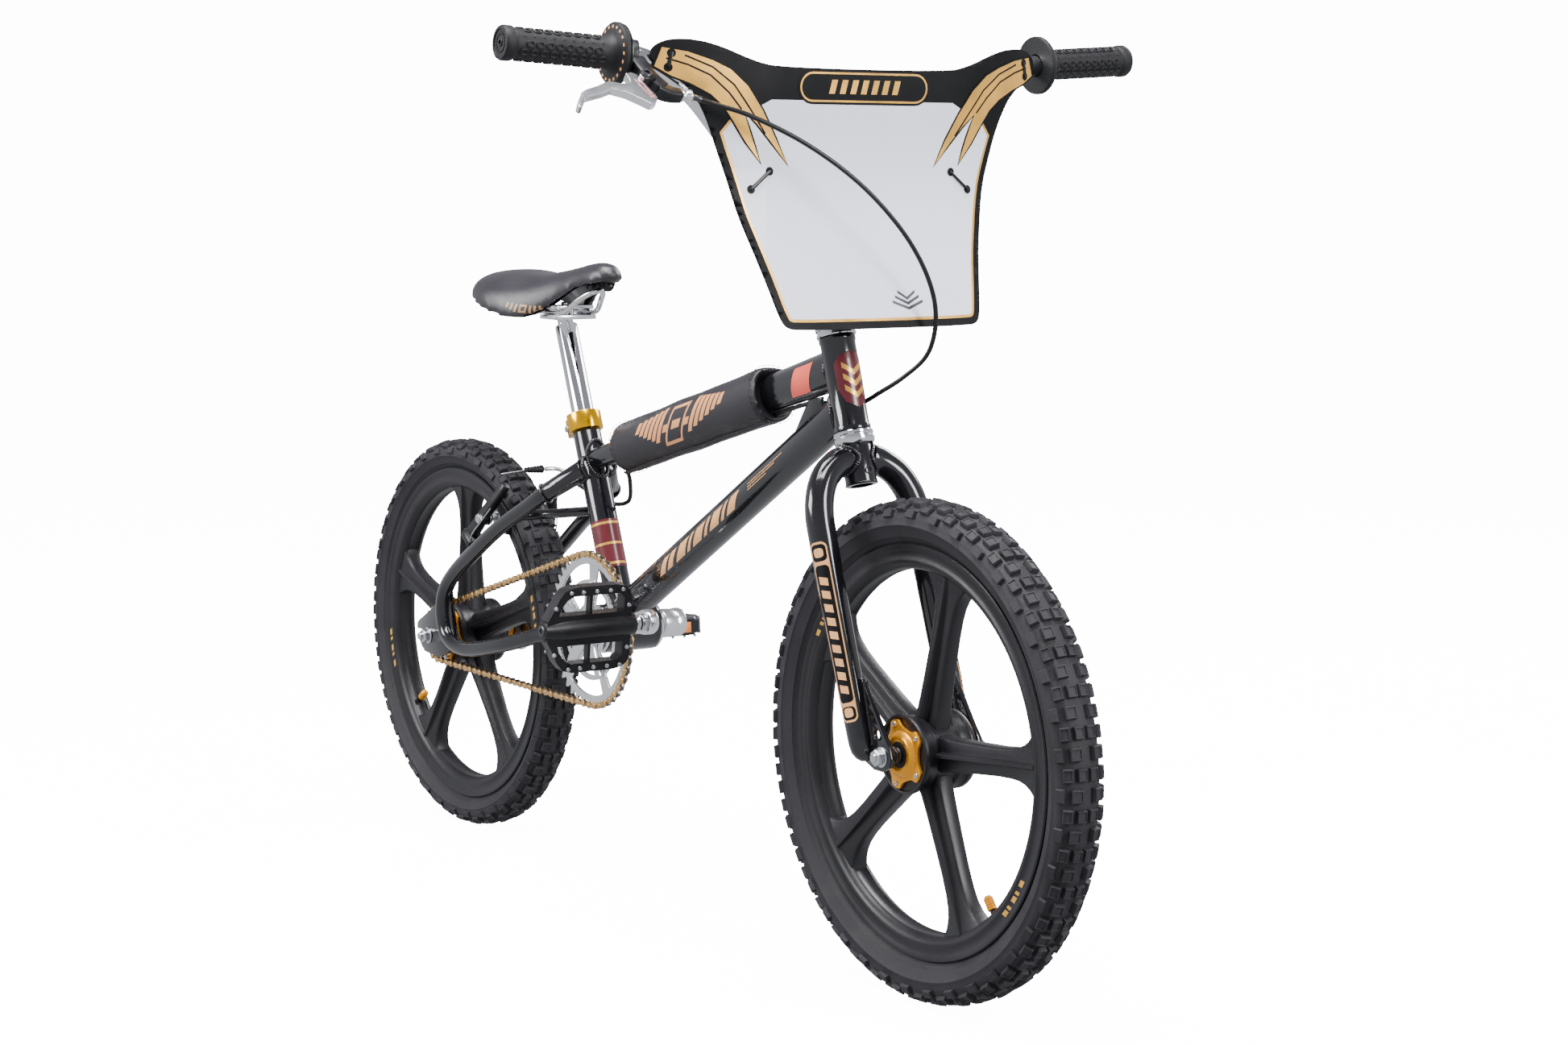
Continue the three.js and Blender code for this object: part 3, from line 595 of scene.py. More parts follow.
def oval_rings(low_x, high_x, centre_z, half, side):
    """The rings at both ends of an oval tube in the middle plane."""
    ends = [Vector((x, 0, centre_z(x))) for x in (low_x, high_x)]
    along = (ends[1] - ends[0]).normalized()
    up = Vector((-along.z, 0, along.x))
    rings = [
        [end + up * u + Vector((0, v, 0)) for u, v in ellipse(half(end.x), side)] for end in ends
    ]
    return rings, along


top_rings, top_along = oval_rings(306, 836, top_z, top_half, TOP_SIDE)
down_rings, down_along = oval_rings(392, 842, down_z, down_half, DOWN_SIDE)

head_tube = lathe(
    [(16, 340), (18.2, 340), (19.4, 340.8), (19.4, 345), (18.5, 346.5), (18.5, 434.5),
     (19.4, 436), (19.4, 440.2), (18.2, 441), (16, 441)],
    *HEAD_AXIS, 56, loop=True,
)
seat_pipe = lathe([(14.2, 8), (16.7, 8), (16.7, 254), (16.2, 255), (14.2, 255)], *SEAT_AXIS, 48, loop=True)
bracket_shell = lathe(
    [(25.8, -34), (27.8, -34), (28.5, -33.3), (28.5, 33.3), (27.8, 34), (25.8, 34)],
    CRANK_AXLE, ACROSS, 56, loop=True,
)
for name, shape, stands_for in (
    ("head_tube_shell", head_tube, "head_tube"), ("top_tube_shell", skin(top_rings), "top_tube"),
    ("down_tube_shell", skin(down_rings), "down_tube"), ("seat_tube_shell", seat_pipe, "seat_tube"),
    ("crank_shell", bracket_shell, "bottom_bracket_shell"),
):
    make(name, shape, body="frame", replaces=[stands_for], **PAINT)

LOOP = [
    (311, 20, 479), (280, 44, 455), (237, 52, 431), (186, 58, 404), (131, 62, 370), (79, 63, 337),
    (52, 63, 312), (44, 63, 286), (52, 63, 259), (74, 63, 246), (109, 62, 244), (184, 56, 259),
    (230, 46, 272), (265, 37, 282), (305, 30, 291), (350, 24, 300),
]
SLOT_LOW, SLOT_HIGH = REAR.z - 5.3, REAR.z + 5.3
DROPOUT = [
    (58, 312), (10, 283), (-27, 263), (-31, 259), (-31, SLOT_HIGH),
    *[(1.5 + u, REAR.z + v) for u, v in circle(5.3, 8, (0, 0), 90, -180)], (-29, SLOT_LOW), (-18, 230),
    (-11, 225), (27, 222), (60, 236), (74, 244), (64, 280),
]
BRAKE_ANGLE = math.radians(52.3)
BRAKE_OUT = Vector((math.cos(BRAKE_ANGLE), 0, math.sin(BRAKE_ANGLE)))
BRAKE_BACK = Vector((-BRAKE_OUT.z, 0, BRAKE_OUT.x))


def on_brake(radius, side, back=0.0):
    return REAR_AXLE + BRAKE_OUT * radius + BRAKE_BACK * back + Vector((0, side, 0))


SLEEVE_FRONT, SLEEVE_BACK = Vector((318, 14.5, 484.5)), Vector((276, 45, 453))
stay = Shape().join(sweep(spline(LOOP, 5), 9.5, 22), rod(SLEEVE_FRONT, SLEEVE_BACK, 12.5, 11.2, 28))
plate = slab(DROPOUT, 55.5, 61.5)
boss = rod(on_brake(170, 54, -27), on_brake(170, 54, -12.6), 6.5, 5.2)
stay_welds = Shape().join(
    bead([(61, 59, 315), (40, 61, 303), (28, 62.5, 297)], 1.9, loop=False),
    bead([(50, 53.5, 306), (52, 53.6, 290), (56, 53.6, 268), (70, 53.6, 250)], 1.8, loop=False),
    bead([on_brake(170, 54, -21) + Vector((6 * u, 6 * v, 0)) for u, v in circle(1, 12)], 1.5),
)
sleeve_way = (SLEEVE_FRONT - SLEEVE_BACK).normalized()
sleeve_up, sleeve_out = across_from(sleeve_way, UP)
sleeve_ring = [SLEEVE_BACK + sleeve_up * u + sleeve_out * v for u, v in circle(12.2, 24)]
stay_welds.join(
    bead(seam(sleeve_ring, sleeve_way, *SEAT_AXIS, 17), 2.4),
    bead([p + sleeve_way * 1.5 for p in sleeve_ring], 1.3),
)
for side, way in SIDES:
    made = Shape().join(stay, plate, boss).sided(way)
    make(f"loop_stay_{side}_shell", made, body="frame", bevel=0.5, replaces=[f"loop_stay_{side}"], **PAINT)
    make(f"loop_stay_{side}_welds", stay_welds.sided(way), body="frame", **WELD)
bridge = rod((219, -46, 421), (219, 46, 421), 6)
make("brake_bridge_shell", bridge, body="frame", replaces=["brake_bridge"], **PAINT)

top_front = seam(top_rings[0], top_along, *HEAD_AXIS, 18.9)
down_front = seam(down_rings[0], down_along, *HEAD_AXIS, 18.9)
top_back = seam(top_rings[1], -top_along, *SEAT_AXIS, 17)
down_back = seam(down_rings[1], -down_along, CRANK_AXLE, ACROSS, 28.8)
seat_ring = [on_seat(200, u, v) for u, v in circle(16.9, 28)]
seat_foot = seam(seat_ring, -SEAT_UP, CRANK_AXLE, ACROSS, 28.8)
bridge_ring = [Vector((219 + u, 49.5, 421 + v)) for u, v in circle(6.6, 14)]
frame_welds = Shape().join(
    bead(top_front, 3.2), bead(down_front, 3.2), bead(top_back, 2.8),
    bead(down_back, 2.8), bead(seat_foot, 2.6),
    bead(bridge_ring, 1.6), bead([Vector((p.x, -p.y, p.z)) for p in bridge_ring], 1.6),
)
make("frame_welds", frame_welds, body="frame", **WELD)

# The gusset plate between the top tube and the down tube, behind the head tube.
gusset_outline = [(742, 557), (779, 578), (796, 592), (794, 602), (770, 597)]
make("head_gusset", slab(gusset_outline, -2, 2), body="frame", bevel=0.6, **PAINT)


# ---- printed shapes on the frame ----
PRINT_LIFT = 0.35


def on_oval(centre_z, half, side, way):
    """Places (x, degrees from the tube's side) on an oval tube; way -1 is the right side."""
    def place(x, degrees):
        a = math.radians(degrees)
        tall = half(x) + PRINT_LIFT
        return (x, way * (side + PRINT_LIFT) * math.cos(a), centre_z(x) + tall * math.sin(a) * 1.03)

    return place


def slanted(x0, x1, low, high, lean):
    """A block that leans: its top is shifted by lean."""
    return [(x0, low), (x1, low), (x1 + lean, high), (x0 + lean, high)]


def rounded_box(x0, x1, low, high, edge, scale=1.0):
    """A rounded rectangle; scale is how many units up make one unit along."""
    made = []
    left, right, bottom, top = x0 + edge, x1 - edge, low + edge * scale, high - edge * scale
    for cx, cy, start in ((right, top, 0), (left, top, 90), (left, bottom, 180), (right, bottom, 270)):
        made += [(cx + edge * u, cy + edge * scale * v) for u, v in circle(1, 5, (0, 0), start, 90)]
    return made


DOWN_BLOCKS = [
    (492, 503), (508, 519), (527, 545), (550, 556), (562, 580), (585, 591), (597, 615), (620, 626),
    (632, 648),
]
for side, way in SIDES:
    down_side = on_oval(down_z, down_half, DOWN_SIDE, way)
    marks = Shape()
    for x0, x1 in DOWN_BLOCKS:
        marks.join(graphic(slanted(x0, x1, -30, 30, 11), down_side, (6, 9)))
    for low, x1 in ((12, 742), (3, 728), (-6, 712)):
        marks.join(graphic(slanted(676, x1, low, low + 3, 1), down_side, (8, 6)))
    make(f"down_tube_print_{side}", marks, print_tan, "frame")
    top_side = on_oval(top_z, top_half, TOP_SIDE, way)
    sticker = graphic(slanted(752, 786, -46, 40, 5), top_side, (8, 9))
    make(f"top_tube_print_{side}", sticker, print_coral, "frame")


def seat_band(low, high, lift):
    """A band printed round the seat tube between two heights."""
    def place(height, degrees):
        a, radius = math.radians(degrees), 16.7 + lift
        return on_seat(height, -radius * math.cos(a), radius * math.sin(a))

    return graphic([(low, -180), (high, -180), (high, 180), (low, 180)], place, (10, 10))


make("seat_tube_print", seat_band(70, 128, 0.3), print_maroon, "frame")
edges = Shape().join(*[seat_band(low, low + 3, 0.45) for low in (73, 122, 97)])
make("seat_tube_print_edges", edges, print_gold, "frame")


def on_head(height, across, lift=0.0):
    """A place on the front of the head tube, across millimetres round it from the middle."""
    a, radius = across / 18.9, 18.9
    return on_steerer(height, radius * math.cos(a) + lift, radius * math.sin(a))


badge_outline = [
    (362, 0), (369, 13), (384, 20), (410, 20), (418, 13), (423, 0), (418, -13), (410, -20), (384, -20),
    (369, -13),
]
badge = graphic(badge_outline, on_head, (6, 3))
make("head_badge", badge, print_maroon, "frame")
chevrons = Shape()
for low in (372, 384, 396):
    shape = [(low, 0), (low + 9, 12), (low + 15, 12), (low + 6, 0), (low + 15, -12), (low + 9, -12)]
    chevrons.join(graphic(shape, lambda height, across: on_head(height, across, 0.25), (6, 3)))
make("head_badge_chevrons", chevrons, print_gold, "frame")


# ---- headset ----
lower_cup = lathe(
    [(15, 326), (19.6, 326), (20.6, 327), (21.4, 329.5), (21.4, 332.5), (20.2, 333.6), (20.2, 335.2),
     (21.0, 336.2), (21.0, 338.6), (20.2, 339.6), (15, 339.6)],
    *HEAD_AXIS, 64, loop=True,
)
upper_cup = lathe(
    [(15, 441.4), (20.2, 441.4), (21, 442.4), (21, 444.6), (20, 445.8), (20, 447.4), (21.2, 448.6),
     (21.4, 451.6), (20.4, 453.6), (19, 454), (15, 454)],
    *HEAD_AXIS, 64, loop=True,
)
make("lower_headset_race", lower_cup, chrome, "frame", "chrome", replaces=["headset_cup_lower"])
make("upper_headset_race", upper_cup, chrome, "frame", "chrome", replaces=["headset_cup_upper"])
locknut = Shape().join(
    lathe([(14.8, 454.6), (18.6, 454.6), (19.4, 455.2), (19.4, 456.6), (18.4, 457.2), (14.8, 457.2)],
          *HEAD_AXIS, 48, loop=True),
    lathe([(14.8, 457.2), (17.6, 457.2), (18.4, 457.8), (18.4, 461), (17.4, 461.6), (14.8, 461.6)],
          *HEAD_AXIS, 8, loop=True),
)
make("headset_locknut_shell", locknut, chrome, "fork", "chrome", 0.2, replaces=["headset_locknut"])


# ---- fork ----
crown = lathe(
    [(12, 283), (15.6, 283), (16.6, 284), (16.6, 324.4), (15.8, 325.6), (14.6, 325.6), (14.6, 503),
     (12, 503)],
    *HEAD_AXIS, 48, loop=True,
)
make("steerer_shell", crown, body="fork", replaces=["steerer_tube"], **PAINT)
crown_rings = Shape().join(
    bead([on_steerer(284.4, 16.2 * u, 16.2 * v) for u, v in circle(1, 24)], 1.2),
    lathe([(3.2, 0), (4.4, 0), (4.4, 1.2), (3.2, 1.2)], on_steerer(296, 15.9), STEER_FORWARD, 24, loop=True),
)
make("crown_edges", crown_rings, body="fork", **WELD)
LEG = [(312, 0, 14), (307, 0, 28), (292, 1, 46), (268, 2, 57.5), (240, 2.5, 61), (12, 9.5, 61)]
leg_line = spline([on_steerer(*p) for p in LEG], 5)
leg_length = sum((b - a).length for a, b in zip(leg_line, leg_line[1:]))
leg_tip = [on_steerer(8, 11.4, 60.4), on_steerer(4, 13.6, 59.6), on_steerer(0.5, 15.6, 59)]
LEG_RADIUS, LEG_TAPER, TAPER_START, TIP_LENGTH = 15, 2.1, 80, 24


def leg_radius(share):
    """The leg's radius at a share of its length: it tapers, and closes over its tip."""
    at = share * leg_length
    taper = min(1, max(0, (at - TAPER_START) / (leg_length - TAPER_START)))
    end = max(0.0, at - leg_length + TIP_LENGTH)
    return max(2.5, (LEG_RADIUS - LEG_TAPER * taper) * math.sqrt(max(0.03, 1 - (end / 24.5) ** 2)))


PLATE_OUTLINE = [
    (940, 330), (952, 330), (972, 304), (990, 279), (1000, 267), (1003.5, 256), (1001, 247), (990, 241),
    (974, 241), (958, 247), (944, 300),
]
plate_holes = [
    circle(5.1, 18, (978.5, 277.5)), circle(3.6, 16, (968.6, 294)), circle(2.5, 14, (961.4, 308.5)),
]
fork_plate = slab(PLATE_OUTLINE, 53, 58, plate_holes)
leg_welds = Shape().join(
    bead([(954.5, 53.4, 328), (961, 53, 303), (967.5, 53, 281), (973, 53, 258)], 1.5, loop=False),
    bead([(954.5, 57.6, 328), (961.5, 58, 303), (968, 58, 281), (972, 58, 266)], 1.5, loop=False),
)
crown_ring = [on_steerer(310 + 15.2 * u, 15.2 * v, 30) for u, v in circle(1, 28)]
crown_seam = seam(crown_ring, -ACROSS, *HEAD_AXIS, 16.8)
leg_welds.join(bead([p + Vector((0, 1.0, 0)) for p in crown_seam], 2.5))
for side, way in SIDES:
    leg = Shape().join(sweep([*leg_line, *leg_tip], leg_radius, 28), fork_plate).sided(way)
    make(f"fork_leg_{side}_shell", leg, body="fork", bevel=0.5, replaces=[f"fork_leg_{side}"], **PAINT)
    make(f"fork_leg_{side}_welds", leg_welds.sided(way), body="fork", **WELD)


def on_leg(way, lift):
    """Places (height, degrees round from the front to the outside) on a fork leg."""
    def place(height, degrees):
        share = (240 - height) / 228
        a = math.radians(degrees)
        radius = LEG_RADIUS - LEG_TAPER * max(0, (240 - height) / 240) + lift
        middle = on_steerer(height, 2.5 + 7 * share, 61)
        out = middle + STEER_FORWARD * radius * math.cos(a) + Vector((0, radius * math.sin(a), 0))
        return Vector((out.x, out.y * way, out.z))

    return place


def leg_panels(way, lift, panels, low, high, steps):
    """Rounded panels (start, end, edge) on a fork leg, between two turns round it."""
    made = Shape()
    for start, end, edge in panels:
        made.join(graphic(rounded_box(start, end, low, high, edge, 4.4), on_leg(way, lift), steps))
    return made


for side, way in SIDES:
    ground = leg_panels(way, 0.3, [(40, 226, 6)], 26, 104, (8, 8))
    make(f"fork_print_{side}", ground, print_tan, "fork")
    dark = leg_panels(way, 0.45, [(206, 223.6, 4.5), (60, 202, 4.5), (42.4, 56, 4.5)], 32, 98, (8, 8))
    make(f"fork_print_panels_{side}", dark, plate_black, "fork")
    light = Shape()
    for k in range(9):
        light.join(graphic(slanted(68 + 14 * k, 76 + 14 * k, 46, 84, 3), on_leg(way, 0.6), (6, 8)))
    light.join(leg_panels(way, 0.6, [(210, 219.5, 3), (45, 54.5, 3)], 44, 86, (6, 8)))
    make(f"fork_print_marks_{side}", light, print_tan, "fork")


# ---- handlebar, stem and grips ----
BAR_HALF = [
    (850, 0, 721), (850, 24, 721), (850, 45, 730), (849, 62, 751), (845, 119, 828), (841, 175, 897),
    (837, 198, 921), (829, 222, 939), (821, 243, 948), (814, 264, 951.2), (813, 290, 952.8),
    (811, 342, 956.1), (809.4, 384, 958.7),
]
bar_line = spline([(x, -y, z) for x, y, z in reversed(BAR_HALF[1:])] + BAR_HALF, 5)
bar = Shape().join(sweep(bar_line, 11.1, 28), rod((842, -163, 880), (842, 163, 880), 8))
make("handlebar_tube", bar, chrome, "fork", "chrome", replaces=["handlebar"])
upright_low, upright_high = Vector(BAR_HALF[4]), Vector(BAR_HALF[5])
bar_along = (upright_high - upright_low).normalized()
cross_ring = [Vector((842 + 8.3 * u, 125, 880 + 8.3 * v)) for u, v in circle(1, 20)]
cross_seam = seam(cross_ring, ACROSS, upright_high, bar_along, 11.3)
for side, way in SIDES:
    made = bead(cross_seam, 1.6).sided(way)
    make(f"handlebar_weld_{side}", made, chrome, "fork", "chrome", angle=60)

CLAMP = on_steerer(484.7, 45.7)
stem_shape = Shape().join(
    lathe([(14.7, 462), (19, 462), (20, 463.2), (20, 501), (19, 502.6), (14.7, 502.6)],
          *HEAD_AXIS, 48, loop=True),
    sweep([on_steerer(482.5, 12), on_steerer(484, 24), on_steerer(484.7, 36)],
          lambda t: rounded(17 - 2 * t, 16 + 5 * t, 5), up=STEER_UP),
    lathe([(11.4, -22), (16.5, -22), (17.5, -21), (17.5, 21), (16.5, 22), (11.4, 22)],
          CLAMP, ACROSS, 48, loop=True),
)
make("stem_body", stem_shape, matt_black, "fork", "black_metal", 0.8, replaces=["stem"])
cap = lathe([(0.01, 503.2), (4.2, 503.2), (4.6, 504.6), (16.5, 504.6), (17.5, 505.6), (16, 507.4), (9, 508),
             (6, 506.2), (0.01, 506.2)][::-1], *HEAD_AXIS, 48)
make("steerer_cap", cap, plastic, "fork", "black_metal")
face_plate = Shape()
for height in (-13.3, 13.3):
    for across in (-14.5, 14.5):
        place = CLAMP + STEER_FORWARD * 13.5 + STEER_UP * height + Vector((0, across, 0))
        face_plate.join(bolt(place, STEER_FORWARD, 3.6, 4.6))
for height in (470, 493):
    face_plate.join(bolt(on_steerer(height, -18, -12), -ACROSS, 3.4, 6))
make("stem_bolts", face_plate, steel, "fork", "silver_metal")

GRIP_START, GRIP_END = Vector((814, 264, 951.2)), Vector((809.2, 389, 959))
GRIP_WAY = (GRIP_END - GRIP_START).normalized()
GRIP_LENGTH = (GRIP_END - GRIP_START).length
grip_up, grip_out = across_from(GRIP_WAY, UP)


def on_grip(along, degrees, radius):
    a = math.radians(degrees)
    return GRIP_START + GRIP_WAY * along + (grip_up * math.cos(a) + grip_out * math.sin(a)) * radius


def oval_bump(centre, axis, big, small, squeeze, long_way):
    """A small raised ring, long along long_way."""
    first, second = across_from(axis.normalized(), long_way)
    route = [centre + first * big * u + second * big * squeeze * v for u, v in circle(1, 14)]
    return sweep(route, small, 6, up=axis, loop=True)


grip_shape = lathe(
    [(12.2, -3), (29.8, -3), (31, -1.8), (31, 1.6), (29.8, 3), (26, 3.4), (20.5, 4.4), (17.6, 7), (16.2, 11),
     (15.3, 14), (15.2, 112), (16.6, 113.5), (17.3, 116), (17.3, GRIP_LENGTH - 2.4),
     (16.2, GRIP_LENGTH - 0.4),
     (13.4, GRIP_LENGTH - 0.2), (13, GRIP_LENGTH - 1.4), (4.4, GRIP_LENGTH - 1.4), (4, GRIP_LENGTH - 0.4),
     (2.4, GRIP_LENGTH - 0.4), (2.2, GRIP_LENGTH - 4), (12.2, GRIP_LENGTH - 4)],
    GRIP_START, GRIP_WAY, 64, loop=True,
)
GRIP_DOT = [(1.5, -0.6), (1.4, 0.5), (0.9, 0.8), (0.01, 0.8)]
bumps = Shape()
for row in range(12):
    degrees = row * 30
    for k in range(9):
        along = 20 + 10.6 * k + (5.3 if row % 2 else 0)
        if along > 110:
            continue
        normal = on_grip(0, degrees, 1) - on_grip(0, degrees, 0)
        if row % 3 == 2:
            bumps.join(lathe(GRIP_DOT, on_grip(along, degrees, 15.1), normal, 8))
        else:
            bumps.join(oval_bump(on_grip(along, degrees, 15.4), normal, 3.7, 1.15, 0.72, GRIP_WAY))
for k in range(18):
    low, high = (on_grip(GRIP_LENGTH - depth, 20 * k, 9) for depth in (1.6, 0.6))
    bumps.join(rod(low, high, 1.3, sides=8))


def flange_dot(turn):
    """One slanted dot printed on the grip's flange."""
    def place(u, v):
        return on_grip(3.7 - 0.07 * (v + 2.2), turn + 2.2 * u, 25.5 + v)

    return graphic(slanted(-1.6, 1.6, -2.2, 2.2, 1.0), place, (5, 5))


flange_dots = Shape().join(*[flange_dot(18 * k) for k in range(20)])
for side, way in SIDES:
    made = Shape().join(grip_shape, bumps).sided(way)
    make(f"grip_{side}_sleeve", made, grip_rubber, "fork", "grip_rubber", replaces=[f"grip_{side}"])
    make(f"grip_{side}_print", flange_dots.sided(way), print_tan, "fork")
grip_washer = lathe(
    [(12.4, -6.2), (29, -6.2), (30, -5.4), (30, -4.2), (29, -3.4), (12.4, -3.4)],
    GRIP_START, GRIP_WAY, 56, loop=True,
)
make("grip_washer_right", grip_washer.sided(-1), plastic, "fork", "black_plastic")


# ---- brake lever ----
LEVER = Vector((857, -256, 924))
LEVER_AXIS = Vector((-0.61, 0, -0.79)).normalized()
LEVER_OUT = Vector((0.79, 0, -0.61)).normalized()


def on_lever(a, b, lift=0.0):
    """a is towards the rider's left, b away from the bar, in the lever's own plane."""
    return LEVER + Vector((0, a, 0)) + LEVER_OUT * b - LEVER_AXIS * lift


CLAMP_RING = Vector((818.6, -249.5, 949.3))
ring_way = Vector((-7, -21, 3.2)).normalized()
bracket = Shape().join(
    lathe([(12, -6.5), (15.6, -6.5), (16.5, -5.6), (16.5, 5.6), (15.6, 6.5), (12, 6.5)],
          CLAMP_RING, ring_way, 40, loop=True),
    sweep(spline([(827, -249, 944), (840, -248, 934), (853, -244, 923), (860, -236, 915)], 4),
          lambda t: rounded(7.5 - 1.0 * t, 9.5 - 1.5 * t, 3), up=LEVER_AXIS),
    sweep(spline([(858, -244, 917), (859, -234, 913), (859.5, -226, 911), (860, -216, 910)], 4),
          lambda t: rounded(7.6 - 1.6 * t, 8.5 - 2.6 * t, 3), up=LEVER_AXIS),
    sweep([on_lever(8, -4), on_lever(0, 0), on_lever(-5, 1)], lambda t: rounded(8.4, 7.4 - t, 3),
          up=LEVER_AXIS),
)
make("lever_bracket_body", bracket, matt_black, "fork", "black_plastic", 0.7,
     replaces=["brake_lever_bracket"])
BARREL_START, BARREL_END = Vector((860, -216, 910)), Vector((862.4, -202.5, 909))
barrel_way = (BARREL_END - BARREL_START).normalized()
barrel = lathe(
    [(5.4, 0), (5.8, 0.6), (5.8, 2.4), (5.2, 3), (4, 3.2), (4, 5), (5.6, 5.2), (6.2, 6), (6.2, 10.6),
     (5.4, 11.6), (4.2, 13), (3.6, 13.4), (2.7, 13.4), (2.7, 10)],
    BARREL_START, barrel_way, 20,
)
first, second = across_from(barrel_way, UP)
for u, v in circle(6.2, 12):
    where = BARREL_START + first * u + second * v
    barrel.join(rod(where + barrel_way * 5.8, where + barrel_way * 10.8, 0.6, sides=8))
make("lever_barrel_adjuster", barrel, polished, "fork", "silver_metal")
bracket_bolts = Shape().join(
    bolt(LEVER - LEVER_AXIS * 8, -LEVER_AXIS, 5.6, 2.6),
    bolt(Vector((819, -250, 927.6)), (0.64, 0, -0.77), 3.6, 2.6),
)
make("lever_bracket_bolts", bracket_bolts, dark_steel, "fork", "black_metal")
BLADE_OUTLINE = [
    (-12, -8), (-7, -4), (-1.5, 31), (-3.5, 36.5), (-8, 41), (-14, 42), (-19.7, 36), (-32, 25), (-46, 18.8),
    (-57, 24), (-77, 31), (-83, 34), (-88, 43.5), (-92, 49), (-95.5, 49.5), (-96, 46), (-89.5, 35),
    (-83, 26), (-76, 21.5), (-60, 15), (-48, 8.6), (-42, 7.6), (-32, 10.5), (-21.5, 10.5), (-19.3, 4),
    (-19.3, -6),
]
lever_frame = Matrix((
    (0, LEVER_OUT.x, -LEVER_AXIS.x, LEVER.x), (1, LEVER_OUT.y, -LEVER_AXIS.y, LEVER.y),
    (0, LEVER_OUT.z, -LEVER_AXIS.z, LEVER.z), (0, 0, 0, 1),
))
blade = Shape().join(
    prism(BLADE_OUTLINE, -4.2, 4.2).moved(lever_frame),
    rod(on_lever(0, 0, -6.5), on_lever(0, 0, 6.5), 6.5),
)
make("lever_blade", blade, polished, "brake_lever", "silver_metal", 2.2, steps=4,
     replaces=["brake_lever"])
grooves = Shape()
for shift in (0, 5.5):
    line = [on_lever(-13.5 + shift, 3, 4.4), on_lever(-7.5 + shift * 0.5, 33, 4.4)]
    grooves.join(sweep(line, 0.3, 8))
make("lever_blade_grooves", grooves, print_coral, "brake_lever")


# ---- number plate ----
PLATE_LOW = [
    (0, 679), (106, 679), (119, 682), (124.5, 692), (132, 725), (140, 757), (150, 790), (158, 824),
    (170, 858), (182, 891), (200, 920), (227, 935), (238, 945),
]
PLATE_HIGH = [
    (0, 940), (104, 940), (134, 946), (170, 960), (196, 966), (222, 966), (238, 957),
]
PLATE_LEAN = [
    (670, 908), (679, 905), (720, 891), (760, 876.5), (800, 865), (830, 861), (870, 860.5), (920, 865),
    (970, 866),
]
plate_edge_right = [(-y, z) for y, z in PLATE_LOW[1:]] + [(-y, z) for y, z in reversed(PLATE_HIGH[1:])]
plate_outline = [*plate_edge_right[::-1], *[(-y, z) for y, z in plate_edge_right]]


def smooth_lean(z):
    """The plate's place along the bike at a height."""
    return sum(through(PLATE_LEAN, min(969, max(671, z + d))) for d in (-12, -6, 0, 6, 12)) / 5


def on_plate(lift):
    """Places (y, z) on the plate, whose sides curve back from 100 mm out."""
    def place(y, z):
        return (smooth_lean(z) - 0.0014 * max(0, abs(y) - 100) ** 2 + lift, y, z)

    return place


def smooth_outline(points):
    """A closed outline with its corners rounded off."""
    made = list(points)
    for _ in range(2):
        made = [
            tuple(Vector(a).lerp(Vector(b), share))
            for a, b in zip(made, made[1:] + made[:1]) for share in (0.25, 0.75)
        ]
    return made


def laid(outline, lift):
    """A flat outline of (y, z) laid on the plate, lift in front of the sheet's middle."""
    return graphic(outline, on_plate(lift), (9, 9))


PLATE_HALF = 1.25
PLATE_SLOT = {"body": "fork", "slot": "plate_plastic"}
ROUND_PLATE = smooth_outline(plate_outline)
rim_lifts = (-PLATE_HALF, -0.6, 0.6, PLATE_HALF)
rim_rows = [[Vector(on_plate(lift)(y, z)) for y, z in ROUND_PLATE] for lift in rim_lifts]
plate_shape = Shape().join(
    laid(ROUND_PLATE, PLATE_HALF), laid(ROUND_PLATE, -PLATE_HALF), skin(rim_rows, caps=False)
)
make("number_plate_sheet", plate_shape, plate_black, angle=50, replaces=["number_plate"], **PLATE_SLOT)


def cut_slanting(outline, point, way):
    """The part of an outline on the side of a line that way points to."""
    return cut(outline, lambda p: (p[0] - point[0]) * way[0] + (p[1] - point[1]) * way[1])


def leftward(outline):
    """The outline in the order that goes round anticlockwise."""
    area = sum(a[0] * b[1] - b[0] * a[1] for a, b in zip(outline, outline[1:] + outline[:1]))
    return outline if area > 0 else outline[::-1]


def stripe(points, wide):
    """The outline of a line of even width through points."""
    left, right = [], []
    for i, p in enumerate(points):
        a, b = Vector(points[max(0, i - 1)]), Vector(points[min(len(points) - 1, i + 1)])
        along = (b - a).normalized()
        side = Vector((-along.y, along.x)) * wide / 2
        left.append(tuple(Vector(p) + side))
        right.append(tuple(Vector(p) - side))
    return left + right[::-1]


panel = cut_slanting(inset(ROUND_PLATE, 10.5), (0, 908), (0, -1))
for way in (1, -1):
    panel = cut_slanting(panel, (way * 167, 872), (way * -0.776, -0.63))
    panel = cut_slanting(panel, (way * 160, 884), (way * -0.45, -0.89))
pin_line = cut_slanting(inset(leftward(panel), -2.8), (0, 897), (0, -1))
make("plate_pinstripe", laid(pin_line, 1.45), print_gold, **PLATE_SLOT)
make("plate_panel", laid(panel, 1.6), panel_white, **PLATE_SLOT)
WING = [
    (235, 939), (228, 957.5), (203, 953.5), (178, 945.5), (159, 937), (140, 921), (122, 897), (106, 870),
    (92, 844), (112, 867), (128, 884), (144, 897), (137, 880), (130, 862), (124, 846), (141, 867),
    (154, 886), (165, 901), (179, 912.5), (200, 923), (219, 930),
]
WING_LINES = [
    [(224, 947), (203, 941), (180, 931), (160, 914), (146, 898)],
    [(206, 950), (178, 939), (155, 922), (136, 898), (118, 874)],
]
wings, wing_edges = Shape(), Shape()
